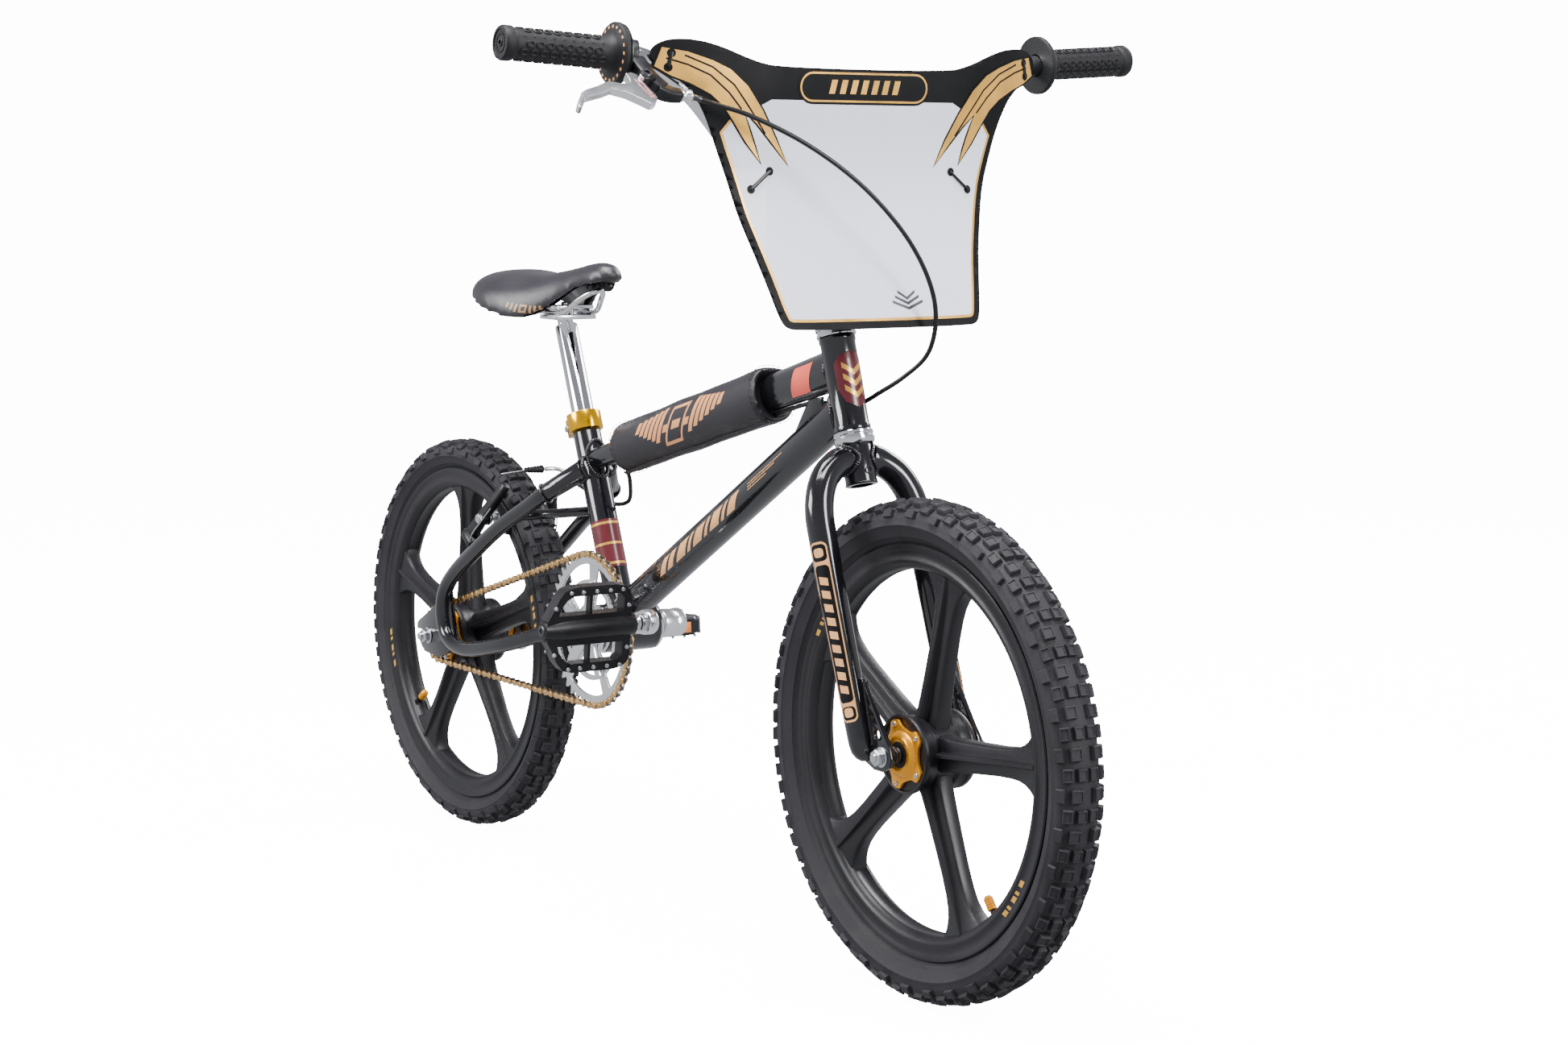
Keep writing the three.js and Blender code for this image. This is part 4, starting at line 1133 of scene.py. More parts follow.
for way in (1, -1):
    wing = leftward([(way * y, z) for y, z in WING])
    wings.join(laid(wing, 1.9))
    wing_edges.join(laid(inset(wing, -1.9), 1.75))
    for line in WING_LINES:
        wing_edges.join(laid(stripe([(way * y, z) for y, z in line], 1.8), 2.0))
make("plate_flashes", wings, print_gold, **PLATE_SLOT)
make("plate_flash_lines", wing_edges, plate_black, **PLATE_SLOT)


def pill(radius):
    """The outline of a flat pill across the top of the plate."""
    return [
        (way * 64 + radius * u, 921.6 + radius * v)
        for way, start in ((1, -90), (-1, 90)) for u, v in circle(1, 10, (0, 0), start, 180)
    ]


pill_dark = Shape().join(laid(pill(17.4), 1.75), laid(pill(13.0), 2.05))
pill_gold = laid(pill(15.0), 1.9)
for k in range(-3, 4):
    pill_gold.join(laid(slanted(13 * k - 5, 13 * k + 2, 915, 929, 3.5), 2.2))
make("plate_pill", pill_dark, plate_black, **PLATE_SLOT)
make("plate_pill_marks", pill_gold, print_gold, **PLATE_SLOT)
low_marks = Shape()
for k in range(3):
    middle, arm, z = 34, 19 - 4 * k, 697 + 5 * k
    chevron = [
        (middle, z), (middle + arm, z + 7), (middle + arm, z + 10), (middle, z + 3),
        (middle - arm, z + 10), (middle - arm, z + 7),
    ]
    low_marks.join(laid(leftward(chevron), 1.75))
make("plate_low_marks", low_marks, dark_steel, **PLATE_SLOT)

# Each tie has two holes (y, z) in the plate and goes round the bar at a third point.
TIES = [((113, 837), (135, 819), BAR_HALF[4]), ((219, 952), (222, 938), (827, 226, 941))]


def tie(first, second, middle):
    """A tie as a closed loop through two holes and round the bar, with its lock behind."""
    span = (second - first).normalized()
    back = Vector((-1, 0, 0))
    line = spline([
        first, (first + second) / 2 - back * 0.4, second, second + back * 5 + span * 1.2,
        middle + span * 12.6, middle + back * 9 + span * 9, middle + back * 12.8,
        middle + back * 9 - span * 9, middle - span * 12.6, first + back * 5 - span * 1.2, first,
    ], 2)[:-1]
    strap = sweep(line, rounded(1.3, 2.1, 0.9, 2), loop=True)
    return strap.join(box(middle + back * 13.5 + span * 3, (5, 5, 4)))


ties, holes = Shape(), Shape()
for way in (1, -1):
    for *spots, (x, y, z) in TIES:
        first, second = (Vector(on_plate(1.9)(way * across, high)) for across, high in spots)
        ties.join(tie(first, second, Vector((x, way * y, z))))
        for across, high in spots:
            holes.join(graphic(circle(4.4, 18, (way * across, high)), on_plate(2.1), (20, 20)))
make("plate_ties", ties, plastic, "fork", "black_plastic")
make("plate_holes", holes, plate_black, **PLATE_SLOT)


# ---- brake cable ----
CABLE = [
    (862.6, -202, 909), (868, -188, 904), (884, -152, 892), (903, -98, 865), (917, -46, 829),
    (925, -4, 789), (927, 26, 751), (925, 46, 713), (920, 53, 680), (907, 52, 650), (880, 42, 626),
    (856, 27, 608), (835, 23.5, 598), (812, 21.5, 595), (788, 9, 594.5), (764, 0, 592), (706, 0, 576.4),
    (640, 0, 560), (560, 0, 539.4), (480, 0, 519.2), (400, 0, 499), (389, 2, 494), (377, 13, 474),
    (354, 25.5, 449), (325, 27.5, 441), (290, 29, 443), (250, 31, 449), (200, 38, 456),
]
cable_line = spline(CABLE, 3)
housing = sweep(cable_line, 2.5, 12)
cable = make("brake_cable_housing", housing, cable_black, None, "black_plastic", replaces=["brake_cable"])
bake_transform(cable)
make("cable_ferrule_front", rod(cable_line[0], cable_line[3], 3.1), dark_steel, "fork")


# ---- wheels: local shapes round the origin, y along the axle ----
RIM_EDGE, BEAD_RADIUS = 212.2, 204.6


def tyre_profile(radius, half):
    """Half of the tyre's outside as (radius, y), from the bead to the middle of the tread."""
    base, tall = RIM_EDGE, radius - RIM_EDGE
    return [
        (BEAD_RADIUS, 9.0), (208.4, 12.3), (211.0, 13.2), (213.0, 14.6), (base + 0.12 * tall, 0.70 * half),
        (base + 0.14 * tall, 0.755 * half), (base + 0.17 * tall, 0.77 * half),
        (base + 0.30 * tall, 0.90 * half), (base + 0.40 * tall, 0.955 * half),
        (base + 0.415 * tall, 0.985 * half), (base + 0.435 * tall, 0.985 * half),
        (base + 0.45 * tall, 0.965 * half), (base + 0.56 * tall, 0.965 * half),
        (base + 0.68 * tall, 0.90 * half), (radius - 9.2, 0.74 * half), (radius - 6.4, 0.55 * half),
        (radius - 5.0, 0.35 * half), (radius - 4.5, 0.15 * half), (radius - 4.4, 0.0),
    ]


def knob(radius, y, tilt, wide, long, height, angle, hollow):
    """A tread block. tilt leans it from straight out towards the side."""
    c, s = math.cos(math.radians(tilt)), math.sin(math.radians(tilt))
    a = math.radians(angle)
    out = Vector((math.cos(a), 0, math.sin(a)))
    round_way = Vector((-out.z, 0, out.x))
    side = Vector((0, 1 if y >= 0 else -1, 0))
    normal, across = out * c + side * s, side * c - out * s
    base = out * radius + Vector((0, y, 0))
    layers = [(1.0, -1.6), (0.97, height - 0.7), (0.88, height)]
    if hollow:
        layers += [(0.72, height), (0.66, height - 0.9)]
    rows = []
    for share, lift in layers:
        u, v = wide / 2 * share, long / 2 * share
        rows.append([
            base + normal * lift + across * u * p + round_way * v * q
            for p, q in ((-1, -1), (1, -1), (1, 1), (-1, 1))
        ])
    return skin(rows)


# Of each tread block: its place along the pitch, y, tilt, width, length, height, its foot's depth
# under the tyre's radius, and whether its top is hollow. Widths are for the front tyre.
FRONT_HALF = 26
KNOBS = [
    (0.0, 23.4, 66, 8.4, 13.5, 3.6, 14.2, False), (0.0, 11.4, 17, 11.6, 13, 4.6, 5.0, True),
    (0.5, 18.4, 42, 10.2, 13.5, 4.4, 8.6, True), (0.5, 6.2, 8, 10.6, 12.5, 4.3, 4.5, True),
]


def tyre(radius, width, pitches):
    half = width / 2
    outer = tyre_profile(radius, half)
    inner = [(radius - 8, 0.0), (106 + radius / 2, half - 5), (211, 9), (BEAD_RADIUS, 7.5)]
    profile = [(r, -y) for r, y in outer] + outer[::-1][1:] + inner[::-1][:-1]
    profile += [(r, -y) for r, y in inner]
    made = lathe(profile, ORIGIN, ACROSS, 144, loop=True)
    scale = half / FRONT_HALF
    for k in range(pitches):
        for phase, y, tilt, wide, long, height, depth, hollow in KNOBS:
            angle = 360 * (k + phase) / pitches
            for way in (1, -1):
                place = (radius - depth, y * way * scale)
                made.join(knob(*place, tilt, wide * scale, long, height, angle, hollow))
    return made


# Radius, half width of the web, half its thickness, and how far the rib stands out from the middle.
SPOKE_STATIONS = [
    (24, 19.0, 10.0, 22.0), (34, 18.4, 9.8, 21.0), (44, 17.2, 9.6, 19.6), (56, 16.4, 9.4, 18.4),
    (75, 15.6, 9.2, 17.0), (100, 15.0, 8.8, 15.6), (125, 14.5, 8.6, 14.4), (145, 15.2, 8.6, 13.8),
    (158, 16.9, 8.8, 13.6), (168, 20.0, 9.2, 13.6), (176, 24.6, 9.8, 13.6), (182, 30.0, 10.4, 13.8),
    (186.5, 36.5, 11.0, 14.0), (188, 39.0, 11.0, 14.0),
]


def spoke_section(wide, web, rib):
    """Pairs (across, along the axle): a flat web with a narrow rib on both faces."""
    half = [
        (-wide, web - 2.6), (-wide + 0.9, web - 0.8), (-wide + 2.6, web), (-6.0, web), (-3.4, web + 0.5),
        (-2.7, web + 1.6), (-2.2, rib - 0.7), (-1.5, rib), (1.5, rib), (2.2, rib - 0.7), (2.7, web + 1.6),
        (3.4, web + 0.5), (6.0, web), (wide - 2.6, web), (wide - 0.9, web - 0.8), (wide, web - 2.6),
    ]
    return half + [(u, -v) for u, v in reversed(half)]


def mirrored(half, middle=False):
    """A profile of (radius, y) with its mirror image after it; middle drops the shared last point."""
    return half + [(r, -y) for r, y in reversed(half[:-1] if middle else half)]


RIM_INSIDE = [(188, -13.2), (186, -10.5), (185.2, -8), (186.6, -5.5), (186.8, 0)]
RIM_OUTSIDE = [
    (188, 13.2), (191, 15.4), (193.4, 16.5), (195.6, 16.5), (197, 15.4), (204.4, 15.4), (206.4, 16.8),
    (210.6, 16.8), (211.8, 15.6), (211, 14.0), (204.0, 12.2), (203.4, 0),
]
HUB_BARREL = [
    (9, 29.6), (36.6, 29.6), (37.4, 31.8), (38.2, 32.4), (39.8, 32.4), (40.6, 31.4), (40.8, 27),
    (40.2, 25.8), (39.4, 25.0), (38.8, 17), (37.6, 13.6), (36.4, 12.4), (35.6, 6), (35.4, 0),
]


def mag(first_spoke):
    """The moulded wheel: rim, hub barrel and five spokes, the first one turned by first_spoke."""
    rim = mirrored(RIM_INSIDE, True)[1:-1] + mirrored(RIM_OUTSIDE, True)
    made = lathe(rim, ORIGIN, ACROSS, 160, loop=True)
    made.join(lathe(mirrored(HUB_BARREL, True), ORIGIN, ACROSS, 80, loop=True))
    for k in range(5):
        a = math.radians(first_spoke + 72 * k)
        out, round_way = Vector((math.cos(a), 0, math.sin(a))), Vector((-math.sin(a), 0, math.cos(a)))
        made.join(skin([
            [out * radius + round_way * u + ACROSS * v for u, v in spoke_section(wide, web, rib)]
            for radius, wide, web, rib in SPOKE_STATIONS
        ]))
    return made


# Degrees from the middle of a star's point, and the radius there.
STAR_POINT = [
    (-36, 27.4), (-27, 27.8), (-18.5, 29.6), (-12.5, 34.2), (-9.5, 35.8), (0, 36.2), (9.5, 35.8),
    (12.5, 34.2), (18.5, 29.6), (27, 27.8),
]


def star_flange(way):
    """The gold hub flange, its bolts apart, on the side that way gives."""
    outline, bolts = [], Shape()
    for k in range(5):
        for turn, radius in STAR_POINT:
            a = math.radians(72 * k + turn)
            outline.append((radius * math.cos(a), radius * math.sin(a)))
    for spot in spots_round(31.6, 5, y=33.4):
        bolts.join(bolt(spot, ACROSS, 2.7, 1.8))
    star = slab(outline, 30.2, 33.6, [circle(14, 40)])
    dome = lathe(
        [(13.2, 33), (24.6, 33.4), (23.6, 34.6), (21.6, 36.6), (19.4, 38.2), (17.4, 38.6), (15.4, 38),
         (14.2, 37.2), (13.2, 37)],
        ORIGIN, ACROSS, 64, loop=True,
    )
    return star.join(dome).sided(way), bolts.sided(way)


HUB_SEAL = [(8.5, 36), (13.2, 36), (13.2, 37.2), (12.4, 37.8), (9.4, 37.4), (8.5, 37.4)]
VALVE_STEM = [(4.6, 0), (4.6, 2), (3.6, 3), (3.2, 10), (3.2, 12)]
VALVE_CAP = [
    (3.9, 10), (4.6, 10.4),
    *[(r, h + 2.6 * k) for k in range(5) for r, h in ((4.9, 11.2), (4.9, 12.6), (4.2, 13.2))],
    (4.0, 24.4), (3.0, 25.6), (1.2, 26), (0.01, 26),
]
FLANGE_TURN, VALVE_FOOT = 34, (189, 0, 0)


def wheel(name, axle, radius, width, pitches, spoke_turn, valve_turn):
    body = f"{name}_wheel"
    at = Matrix.Translation(axle)
    make(f"{name}_tyre_tread", tyre(radius, width, pitches).moved(at), rubber, body, "tyre_rubber", angle=40,
         replaces=[f"{name}_tyre"])
    make(f"{name}_mag_wheel", mag(spoke_turn).moved(at), nylon, body, "wheel_nylon", angle=42,
         replaces=[f"{name}_wheel"])
    for side, way in SIDES:
        star, bolts = star_flange(way)
        turn = at @ turned(ORIGIN, spoke_turn + FLANGE_TURN)
        make(f"{name}_hub_star_{side}", star.moved(turn), gold, body, "gold_anodised", 0.4,
             replaces=[f"{name}_hub_flange_{side}"])
        make(f"{name}_hub_bolts_{side}", bolts.moved(turn), steel, body, "silver_metal", 0.2)
        seal = lathe(HUB_SEAL, ORIGIN, ACROSS, 40, loop=True).sided(way)
        make(f"{name}_hub_seal_{side}", seal.moved(at), grip_rubber, body)
    turn = at @ turned(ORIGIN, valve_turn)
    stem = lathe(VALVE_STEM, VALVE_FOOT, (-1, 0, 0), 20)
    valve_cap = lathe(VALVE_CAP, VALVE_FOOT, (-1, 0, 0), 24)
    make(f"{name}_valve_stem", stem.moved(turn), grip_rubber, body)
    make(f"{name}_valve_cap", valve_cap.moved(turn), gold, body, "gold_anodised", replaces=[f"{name}_valve"])


wheel("front", FRONT_AXLE, 256, 52, 40, 5, -52)
wheel("rear", REAR_AXLE, 247, 47, 39, 18, -143)


def rim_mark(axle, degrees, span, way):
    """A slanted block of span degrees printed on the rim's side."""
    def place(turn, radius):
        a = math.radians(degrees + turn)
        return (axle.x + radius * math.cos(a), way * 15.75, axle.z + radius * math.sin(a))

    return graphic([(0, 198), (span, 198), (span + 0.6, 203.6), (0.6, 203.6)], place, (1, 3))


for name, axle, turns in (("front", FRONT_AXLE, (-43, 137)), ("rear", REAR_AXLE, (186, 6))):
    marks = Shape()
    for turn in turns:
        for k, span in enumerate((2.2, 1.2, 2.2, 1.2, 2.2)):
            for way in (1, -1):
                marks.join(rim_mark(axle, turn + 3 * k, span, way))
    make(f"{name}_rim_marks", marks, print_gold, f"{name}_wheel")


# ---- axles ----
THREAD_STEP = 0.75


def axle_set(name, axle, body, half, nut, inner, look):
    """An axle's thread, nuts and cones; half, nut and inner are distances from the middle."""
    def end(y):
        return axle + ACROSS * y

    count = int(2 * half / THREAD_STEP)
    thread = [(4.9 - (0.35 if k % 2 else 0), -half + THREAD_STEP * k) for k in range(1, count)]
    thread = [(4.2, -half - 0.01), *thread, (4.2, half)]
    make(f"{name}_axle_thread", lathe(thread, axle, ACROSS, 24), steel, body, "silver_metal", angle=60,
         replaces=[f"{name}_axle"])
    for side, way in SIDES:
        out = ACROSS * way
        nut_shape = Shape().join(
            hexagon(end(way * (nut + 1.4)), out, 8.9, 7.4),
            lathe([(5, 0), (10.4, 0), (10.4, 1.2), (9.8, 1.4), (5, 1.4)], end(way * nut), out, 40, loop=True),
        )
        make(f"{name}_axle_nut_{side}_shell", nut_shape, steel, body, "silver_metal", 0.3,
             replaces=[f"{name}_axle_nut_{side}"])
        cone = Shape().join(
            rod(end(way * 36.8), end(way * 41), 8.2), hexagon(end(way * 41), out, 9.6, 4.6),
            rod(end(way * 45.6), end(way * (inner - 0.2)), 8.4),
        )
        make(f"{name}_axle_cone_{side}", cone, look, body, bevel=0.2)


axle_set("front", FRONT_AXLE, "fork", 69, 58.2, 53, dark_steel)
axle_set("rear", REAR_AXLE, "frame", 75, 61.7, 55.5, steel)
for side, way in SIDES:
    ring = lathe(
        [(5, 0), (13, 0), (13, 1.6), (12.2, 2), (5, 2)],
        REAR_AXLE + ACROSS * way * 53.4, (0, way, 0), 48, loop=True,
    )
    make(f"rear_axle_washer_{side}", ring, gold, "frame", "gold_anodised")


# ---- drive ----
LINK, CHAIN_PLANE = 12.7, -46.0
RING_TEETH, COG_TEETH = 44, 16
SPROCKET_SIDES = (-47.4, -44.6)
RING_PITCH = LINK / 2 / math.sin(math.pi / RING_TEETH)
COG_PITCH = LINK / 2 / math.sin(math.pi / COG_TEETH)
span = CRANK_AXLE - REAR_AXLE
chain_lean = math.atan2(span.z, span.x)
chain_open = math.acos((COG_PITCH - RING_PITCH) / span.length)


def on_circle(centre, radius, angle):
    """A place round an axle, in the middle plane of the chain."""
    return Vector((centre.x + radius * math.cos(angle), CHAIN_PLANE, centre.z + radius * math.sin(angle)))


# The chain's pins, in order: round the chainring, along the top run, round the cog, along the low run.
ring_turns = [chain_lean - chain_open + k * 2 * math.pi / RING_TEETH for k in range(25)]
cog_turns = [chain_lean + math.pi + (k - 3.5) * 2 * math.pi / COG_TEETH for k in range(8)]
ring_pins = [on_circle(CRANK_AXLE, RING_PITCH, turn) for turn in ring_turns]
cog_pins = [on_circle(REAR_AXLE, COG_PITCH, turn) for turn in cog_turns]
pins = [
    *ring_pins, *[ring_pins[-1].lerp(cog_pins[0], k / 31) for k in range(1, 31)],
    *cog_pins, *[cog_pins[-1].lerp(ring_pins[0], k / 30) for k in range(1, 30)],
]
OUTER_PLATE, INNER_PLATE = (2.9, 3.75), (1.95, 2.75)
chain, rollers = Shape(), Shape()
for k, pin in enumerate(pins):
    run = pins[(k + 1) % len(pins)] - pin
    lean = math.degrees(math.atan2(run.z, run.x))
    outline = [
        *circle(4.1, 8, (run.length, 0), -70, 140), (run.length / 2, 1.9), *circle(4.1, 8, (0, 0), 110, 140),
        (run.length / 2, -1.9),
    ]
    low, high = INNER_PLATE if k % 2 else OUTER_PLATE
    for way in (1, -1):
        chain.join(slab(outline, way * low, way * high).moved(turned(pin, lean)))
    chain.join(lathe([(2, -4), (2.3, -3.8), (2.3, 3.8), (2, 4)], pin, ACROSS, 8))
    rollers.join(lathe([(3.9, -1.8), (3.9, 1.8)], pin, ACROSS, 10))
make("chain_rollers", rollers, dark_steel, "frame", angle=30)
make("chain_links", chain, chain_gold, "frame", "gold_chain", replaces=["chain"], angle=30)


# Shares of a tooth's pitch from its middle, and how far the edge lies from the pitch circle there.
TOOTH = [(-0.5, -4.0), (-0.33, -3.7), (-0.24, -1.4), (-0.10, 3.6), (0.10, 3.6), (0.24, -1.4), (0.33, -3.7)]


def toothed(teeth, pitch, turn):
    """A sprocket's outline round the origin."""
    made = []
    for k in range(teeth):
        for share, rise in TOOTH:
            a = turn + (k + share) * 2 * math.pi / teeth
            made.append(((pitch + rise) * math.cos(a), (pitch + rise) * math.sin(a)))
    return made


ring_turn = chain_lean - chain_open + math.pi / RING_TEETH
ring_holes = [circle(21, 40)]
for k in range(5):
    middle = 72 * k + CRANK_TURN
    ring_holes.append(circle(77, 14, (0, 0), middle + 7, 58) + circle(59, 12, (0, 0), middle + 65, -58))
    ring_holes.append(circle(53, 10, (0, 0), middle + 13, 46) + circle(31, 8, (0, 0), middle + 59, -46))
ring_shape = slab(toothed(RING_TEETH, RING_PITCH, ring_turn), *SPROCKET_SIDES, ring_holes).moved(AT_CRANK)
make("chainring_teeth", ring_shape, polished, "crankset", "silver_metal", 0.35, replaces=["chainring"])
ring_bolts = Shape()
for spot in spots_round(54, 5, CRANK_TURN, SPROCKET_SIDES[0]):
    ring_bolts.join(bolt(spot, -ACROSS, 4.6, 1.8), rod(spot + ACROSS * 2.8, spot + ACROSS * 5, 4.6))
make("chainring_bolts", ring_bolts.moved(AT_CRANK), steel, "crankset", "silver_metal")

cog_turn = chain_lean + math.pi + 4.5 * math.pi * 2 / COG_TEETH - math.pi / COG_TEETH
cog_shape = Shape().join(
    slab(toothed(COG_TEETH, COG_PITCH, cog_turn), *SPROCKET_SIDES, [circle(18, 32)]),
    lathe([(8.5, -51), (16.5, -51), (18.6, -50.2), (19, -49), (19, -37), (8.5, -37)], ORIGIN, ACROSS, 56,
          loop=True),
)
notches = Shape()
for spot in spots_round(13.5, 12):
    notches.join(rod(spot - ACROSS * 51.4, spot - ACROSS * 50.6, 1.5, sides=10))
make("freewheel_cog", cog_shape.moved(AT_REAR_AXLE), steel, "freewheel", "silver_metal", 0.3,
     replaces=["freewheel"])
make("freewheel_notches", notches.moved(AT_REAR_AXLE), dark_steel, "freewheel")

spindle = rod(CRANK_AXLE - ACROSS * 69, CRANK_AXLE + ACROSS * 69, 8.5)
make("crank_spindle", spindle, steel, "crankset", "silver_metal", replaces=["bottom_bracket_spindle"])

# Of the crank arm: the place along it, half its width and half its thickness.
ARM_STATIONS = [
    (-16.5, 5, 5.5), (-14.5, 9, 6.2), (-9, 14.5, 6.8), (0, 17.0, 7.0), (10, 16.2, 7.0), (24, 13.2, 6.8),
    (50, 11.6, 6.5), (100, 11.0, 6.2), (140, 11.2, 6.2), (158, 12.6, 6.4), (168, 14.0, 6.5),
    (176, 14.2, 6.5), (183, 11.6, 6.4), (187, 7.5, 6.0), (188.6, 3, 5.4),
]
ARM_PLANE = 70.5
SPIDER_FOOT = [
    (12, 9), (30, 6.4), (52, 5.4), (58.5, 4), (60, 0), (58.5, -4), (52, -5.4), (30, -6.4), (12, -9),
]
CUP_PROFILE = [
    (9.4, 30), (24, 30), (24, 34.4), (27.4, 34.4), (28.2, 35.2), (28.2, 36.8), (27, 38), (21, 38.2),
    (19, 36.6), (12, 36.6), (9.4, 36),
]


def crank_arm(spider):
    """An arm along +x on the +y side, its axle at the origin, and its dust cap."""
    rows = []
    for x, wide, thick in ARM_STATIONS:
        pairs = rounded(wide, thick, min(wide, thick) * 0.55, 4)
        rows.append([Vector((x, ARM_PLANE + v, u)) for u, v in pairs])
    boss = [(9.4, 46), (15, 46), (17.2, 48.4), (17, 56), (16, 66), (9.4, 66)]
    made = skin(rows).join(lathe(boss, ORIGIN, ACROSS, 48, loop=True))
    cap_profile = [(9.8, 76.6), (9.8, 78.4), (8.6, 79.2), (3.4, 79.2), (3, 78.2), (0.01, 78.2)]
    if spider:
        for k in range(5):
            made.join(slab(SPIDER_FOOT, 47.8, 53.4).moved(turned(ORIGIN, 72 * k)))
    return made, lathe(cap_profile, ORIGIN, ACROSS, 36)


for side, way, turn in (("right", -1, CRANK_TURN), ("left", 1, CRANK_TURN + 180)):
    arm, dust = crank_arm(side == "right")
    at = turned(CRANK_AXLE, turn)
    make(f"crank_arm_{side}_shell", arm.sided(way).moved(at), polished, "crankset", "silver_metal", 0.8,
         replaces=[f"crank_arm_{side}"])
    make(f"crank_bolt_cap_{side}", dust.sided(way).moved(at), plastic, "crankset")
    cup = lathe(CUP_PROFILE, CRANK_AXLE, (0, way, 0), 64, loop=True)
    make(f"crank_cup_{side}", cup, chrome, "frame", "chrome", replaces=[f"bottom_bracket_cup_{side}"])
    cup_notches = Shape()
    for spot in spots_round(24, 8, y=way * 37.4):
        cup_notches.join(rod(spot, spot + ACROSS * way, 1.8, sides=12))
    make(f"crank_cup_notches_{side}", cup_notches.moved(AT_CRANK), dark_steel, "frame")


# ---- pedals: x along the platform, y outwards, z up ----
PEDAL_HALF = [
    (33, 98), (41, 101), (46, 108), (48, 118), (48, 170), (45, 182), (36, 190), (20, 198), (12, 203),
]
PEDAL_WINDOW = [(17, 108), (33, 108), (38, 114), (38, 172), (34, 180), (24, 188), (17, 190)]
PEDAL_BARREL = [
    (6.4, 92), (12.6, 92), (13.4, 93.4), (13.4, 100), (14, 104), (14, 176), (13.2, 186), (11.6, 196),
    (10.4, 205), (9.4, 206), (0.01, 206.2),
]
PEDAL_SHAFT = [
    (0.01, 66), (6.8, 66), (6.8, 77.4), (9.8, 77.4), (9.8, 83), (7.4, 84), (5.8, 88), (5.8, 96), (0.01, 96),
]
PIN_PROFILE = [(2.2, 0), (2.2, 1), (1.7, 1.2), (1.7, 3.0), (1.2, 3.4), (0.01, 3.4)]
# Of each pin on the pedal's front half: x, y, and the height of its foot over the middle.
PIN_SPOTS = [*[(42.8, y, 9.6) for y in (112, 128, 145, 162, 177)], (26, 194, 7.6), (24, 102.5, 7.6)]


def pedal_parts():
    """The platform, its pins, its reflectors and its end cap."""
    outline = [(-33, 98), *PEDAL_HALF, *[(-x, y) for x, y in reversed(PEDAL_HALF[1:])]]
    windows = [[(way * x, y) for x, y in PEDAL_WINDOW] for way in (1, -1)]
    platform = prism(outline, -8, 8, windows).join(lathe(PEDAL_BARREL, ORIGIN, ACROSS, 40))
    pins, glass = Shape(), Shape()
    for way in (1, -1):
        platform.join(box((way * 27, 148, 0), (22, 3.2, 9)))
        glass.join(box((way * 48.6, 145, 0), (2.6, 46, 13)))
        for above in (1, -1):
            platform.join(box((way * 42.6, 145, above * 9.0), (7.6, 60, 2.4)))
            for x, y, foot in PIN_SPOTS:
                pins.join(lathe(PIN_PROFILE, (way * x, y, above * foot), (0, 0, above), 14))
    return platform, pins, glass, bolt((0, 205.6, 0), ACROSS, 6.4, 1.6)


for side, way, turn, pedal_turn in (("right", -1, CRANK_TURN, 84), ("left", 1, CRANK_TURN + 180, 4)):
    eye = turned(CRANK_AXLE, turn) @ Vector((CRANK_LENGTH, 0, 0))
    at = turned(eye, pedal_turn)
    platform, pins, glass, cap = (s.sided(way).moved(at) for s in pedal_parts())
    body = f"pedal_{side}"
    make(f"pedal_{side}_platform", platform, matt_black, body, "black_metal", 1.2, replaces=[f"pedal_{side}"])
    make(f"pedal_{side}_pins", pins, steel, body, "silver_metal")
    if side == "left":
        make("pedal_left_reflectors", glass, reflector, body, bevel=0.6)
    make(f"pedal_{side}_cap", cap, dark_steel, body)
    shaft = lathe(PEDAL_SHAFT, ORIGIN, ACROSS, 24).sided(way).moved(at)
    make(f"pedal_{side}_spindle", shaft, steel, "crankset", "silver_metal", 0.3,
         replaces=[f"pedal_axle_{side}"])


# ---- seat ----
collar_edge = circle(20.6, 44, (0, 0), 40, 280)
collar_edge += [(22, -10.6), (29, -9.4), (32, -6.5), (32, 6.5), (29, 9.4), (22, 10.6)]
collar_frame = Matrix((
    (SEAT_BACK.x, 0, SEAT_UP.x, CRANK_AXLE.x), (SEAT_BACK.y, -1, SEAT_UP.y, CRANK_AXLE.y),
    (SEAT_BACK.z, 0, SEAT_UP.z, CRANK_AXLE.z), (0, 0, 0, 1),
))
collar = prism(collar_edge, 241, 262, [circle(14, 36)]).moved(collar_frame)
make("seat_collar", collar, collar_gold, "frame", "gold_anodised", 1.1, replaces=["seat_clamp"])
collar_bolt = Shape().join(
    bolt(on_seat(251, 25.5, -9), -ACROSS, 4.2, 3.4),
    rod(on_seat(251, 25.5, 9), on_seat(251, 25.5, 11.5), 4.0),
)
make("seat_collar_bolt", collar_bolt, steel, "frame", "silver_metal")

CRADLE = Vector((254, 0, 658.1))
post_shape = lathe(
    [(11, 135), (13.5, 135), (13.5, 372), (12.9, 373), (9.6, 373.6), (9.2, 386), (0.01, 386)], *SEAT_AXIS, 48
)
make("seat_post_tube", post_shape, chrome, "seat", "chrome", replaces=["seat_post"])
guts = Shape().join(box(CRADLE + UP * 3.6, (38, 56, 5.4)), box(CRADLE + UP * 15.4, (30, 54, 4.4)))
for x in (-8, 8):
    spot = CRADLE + Vector((x, 0, 0))
    guts.join(bolt(spot + UP * 17.6, UP, 4.4, 3.4), rod(spot + UP, spot + UP * 17, 3))
make("seat_clamp_parts", guts, polished, "seat", "silver_metal", 0.5)

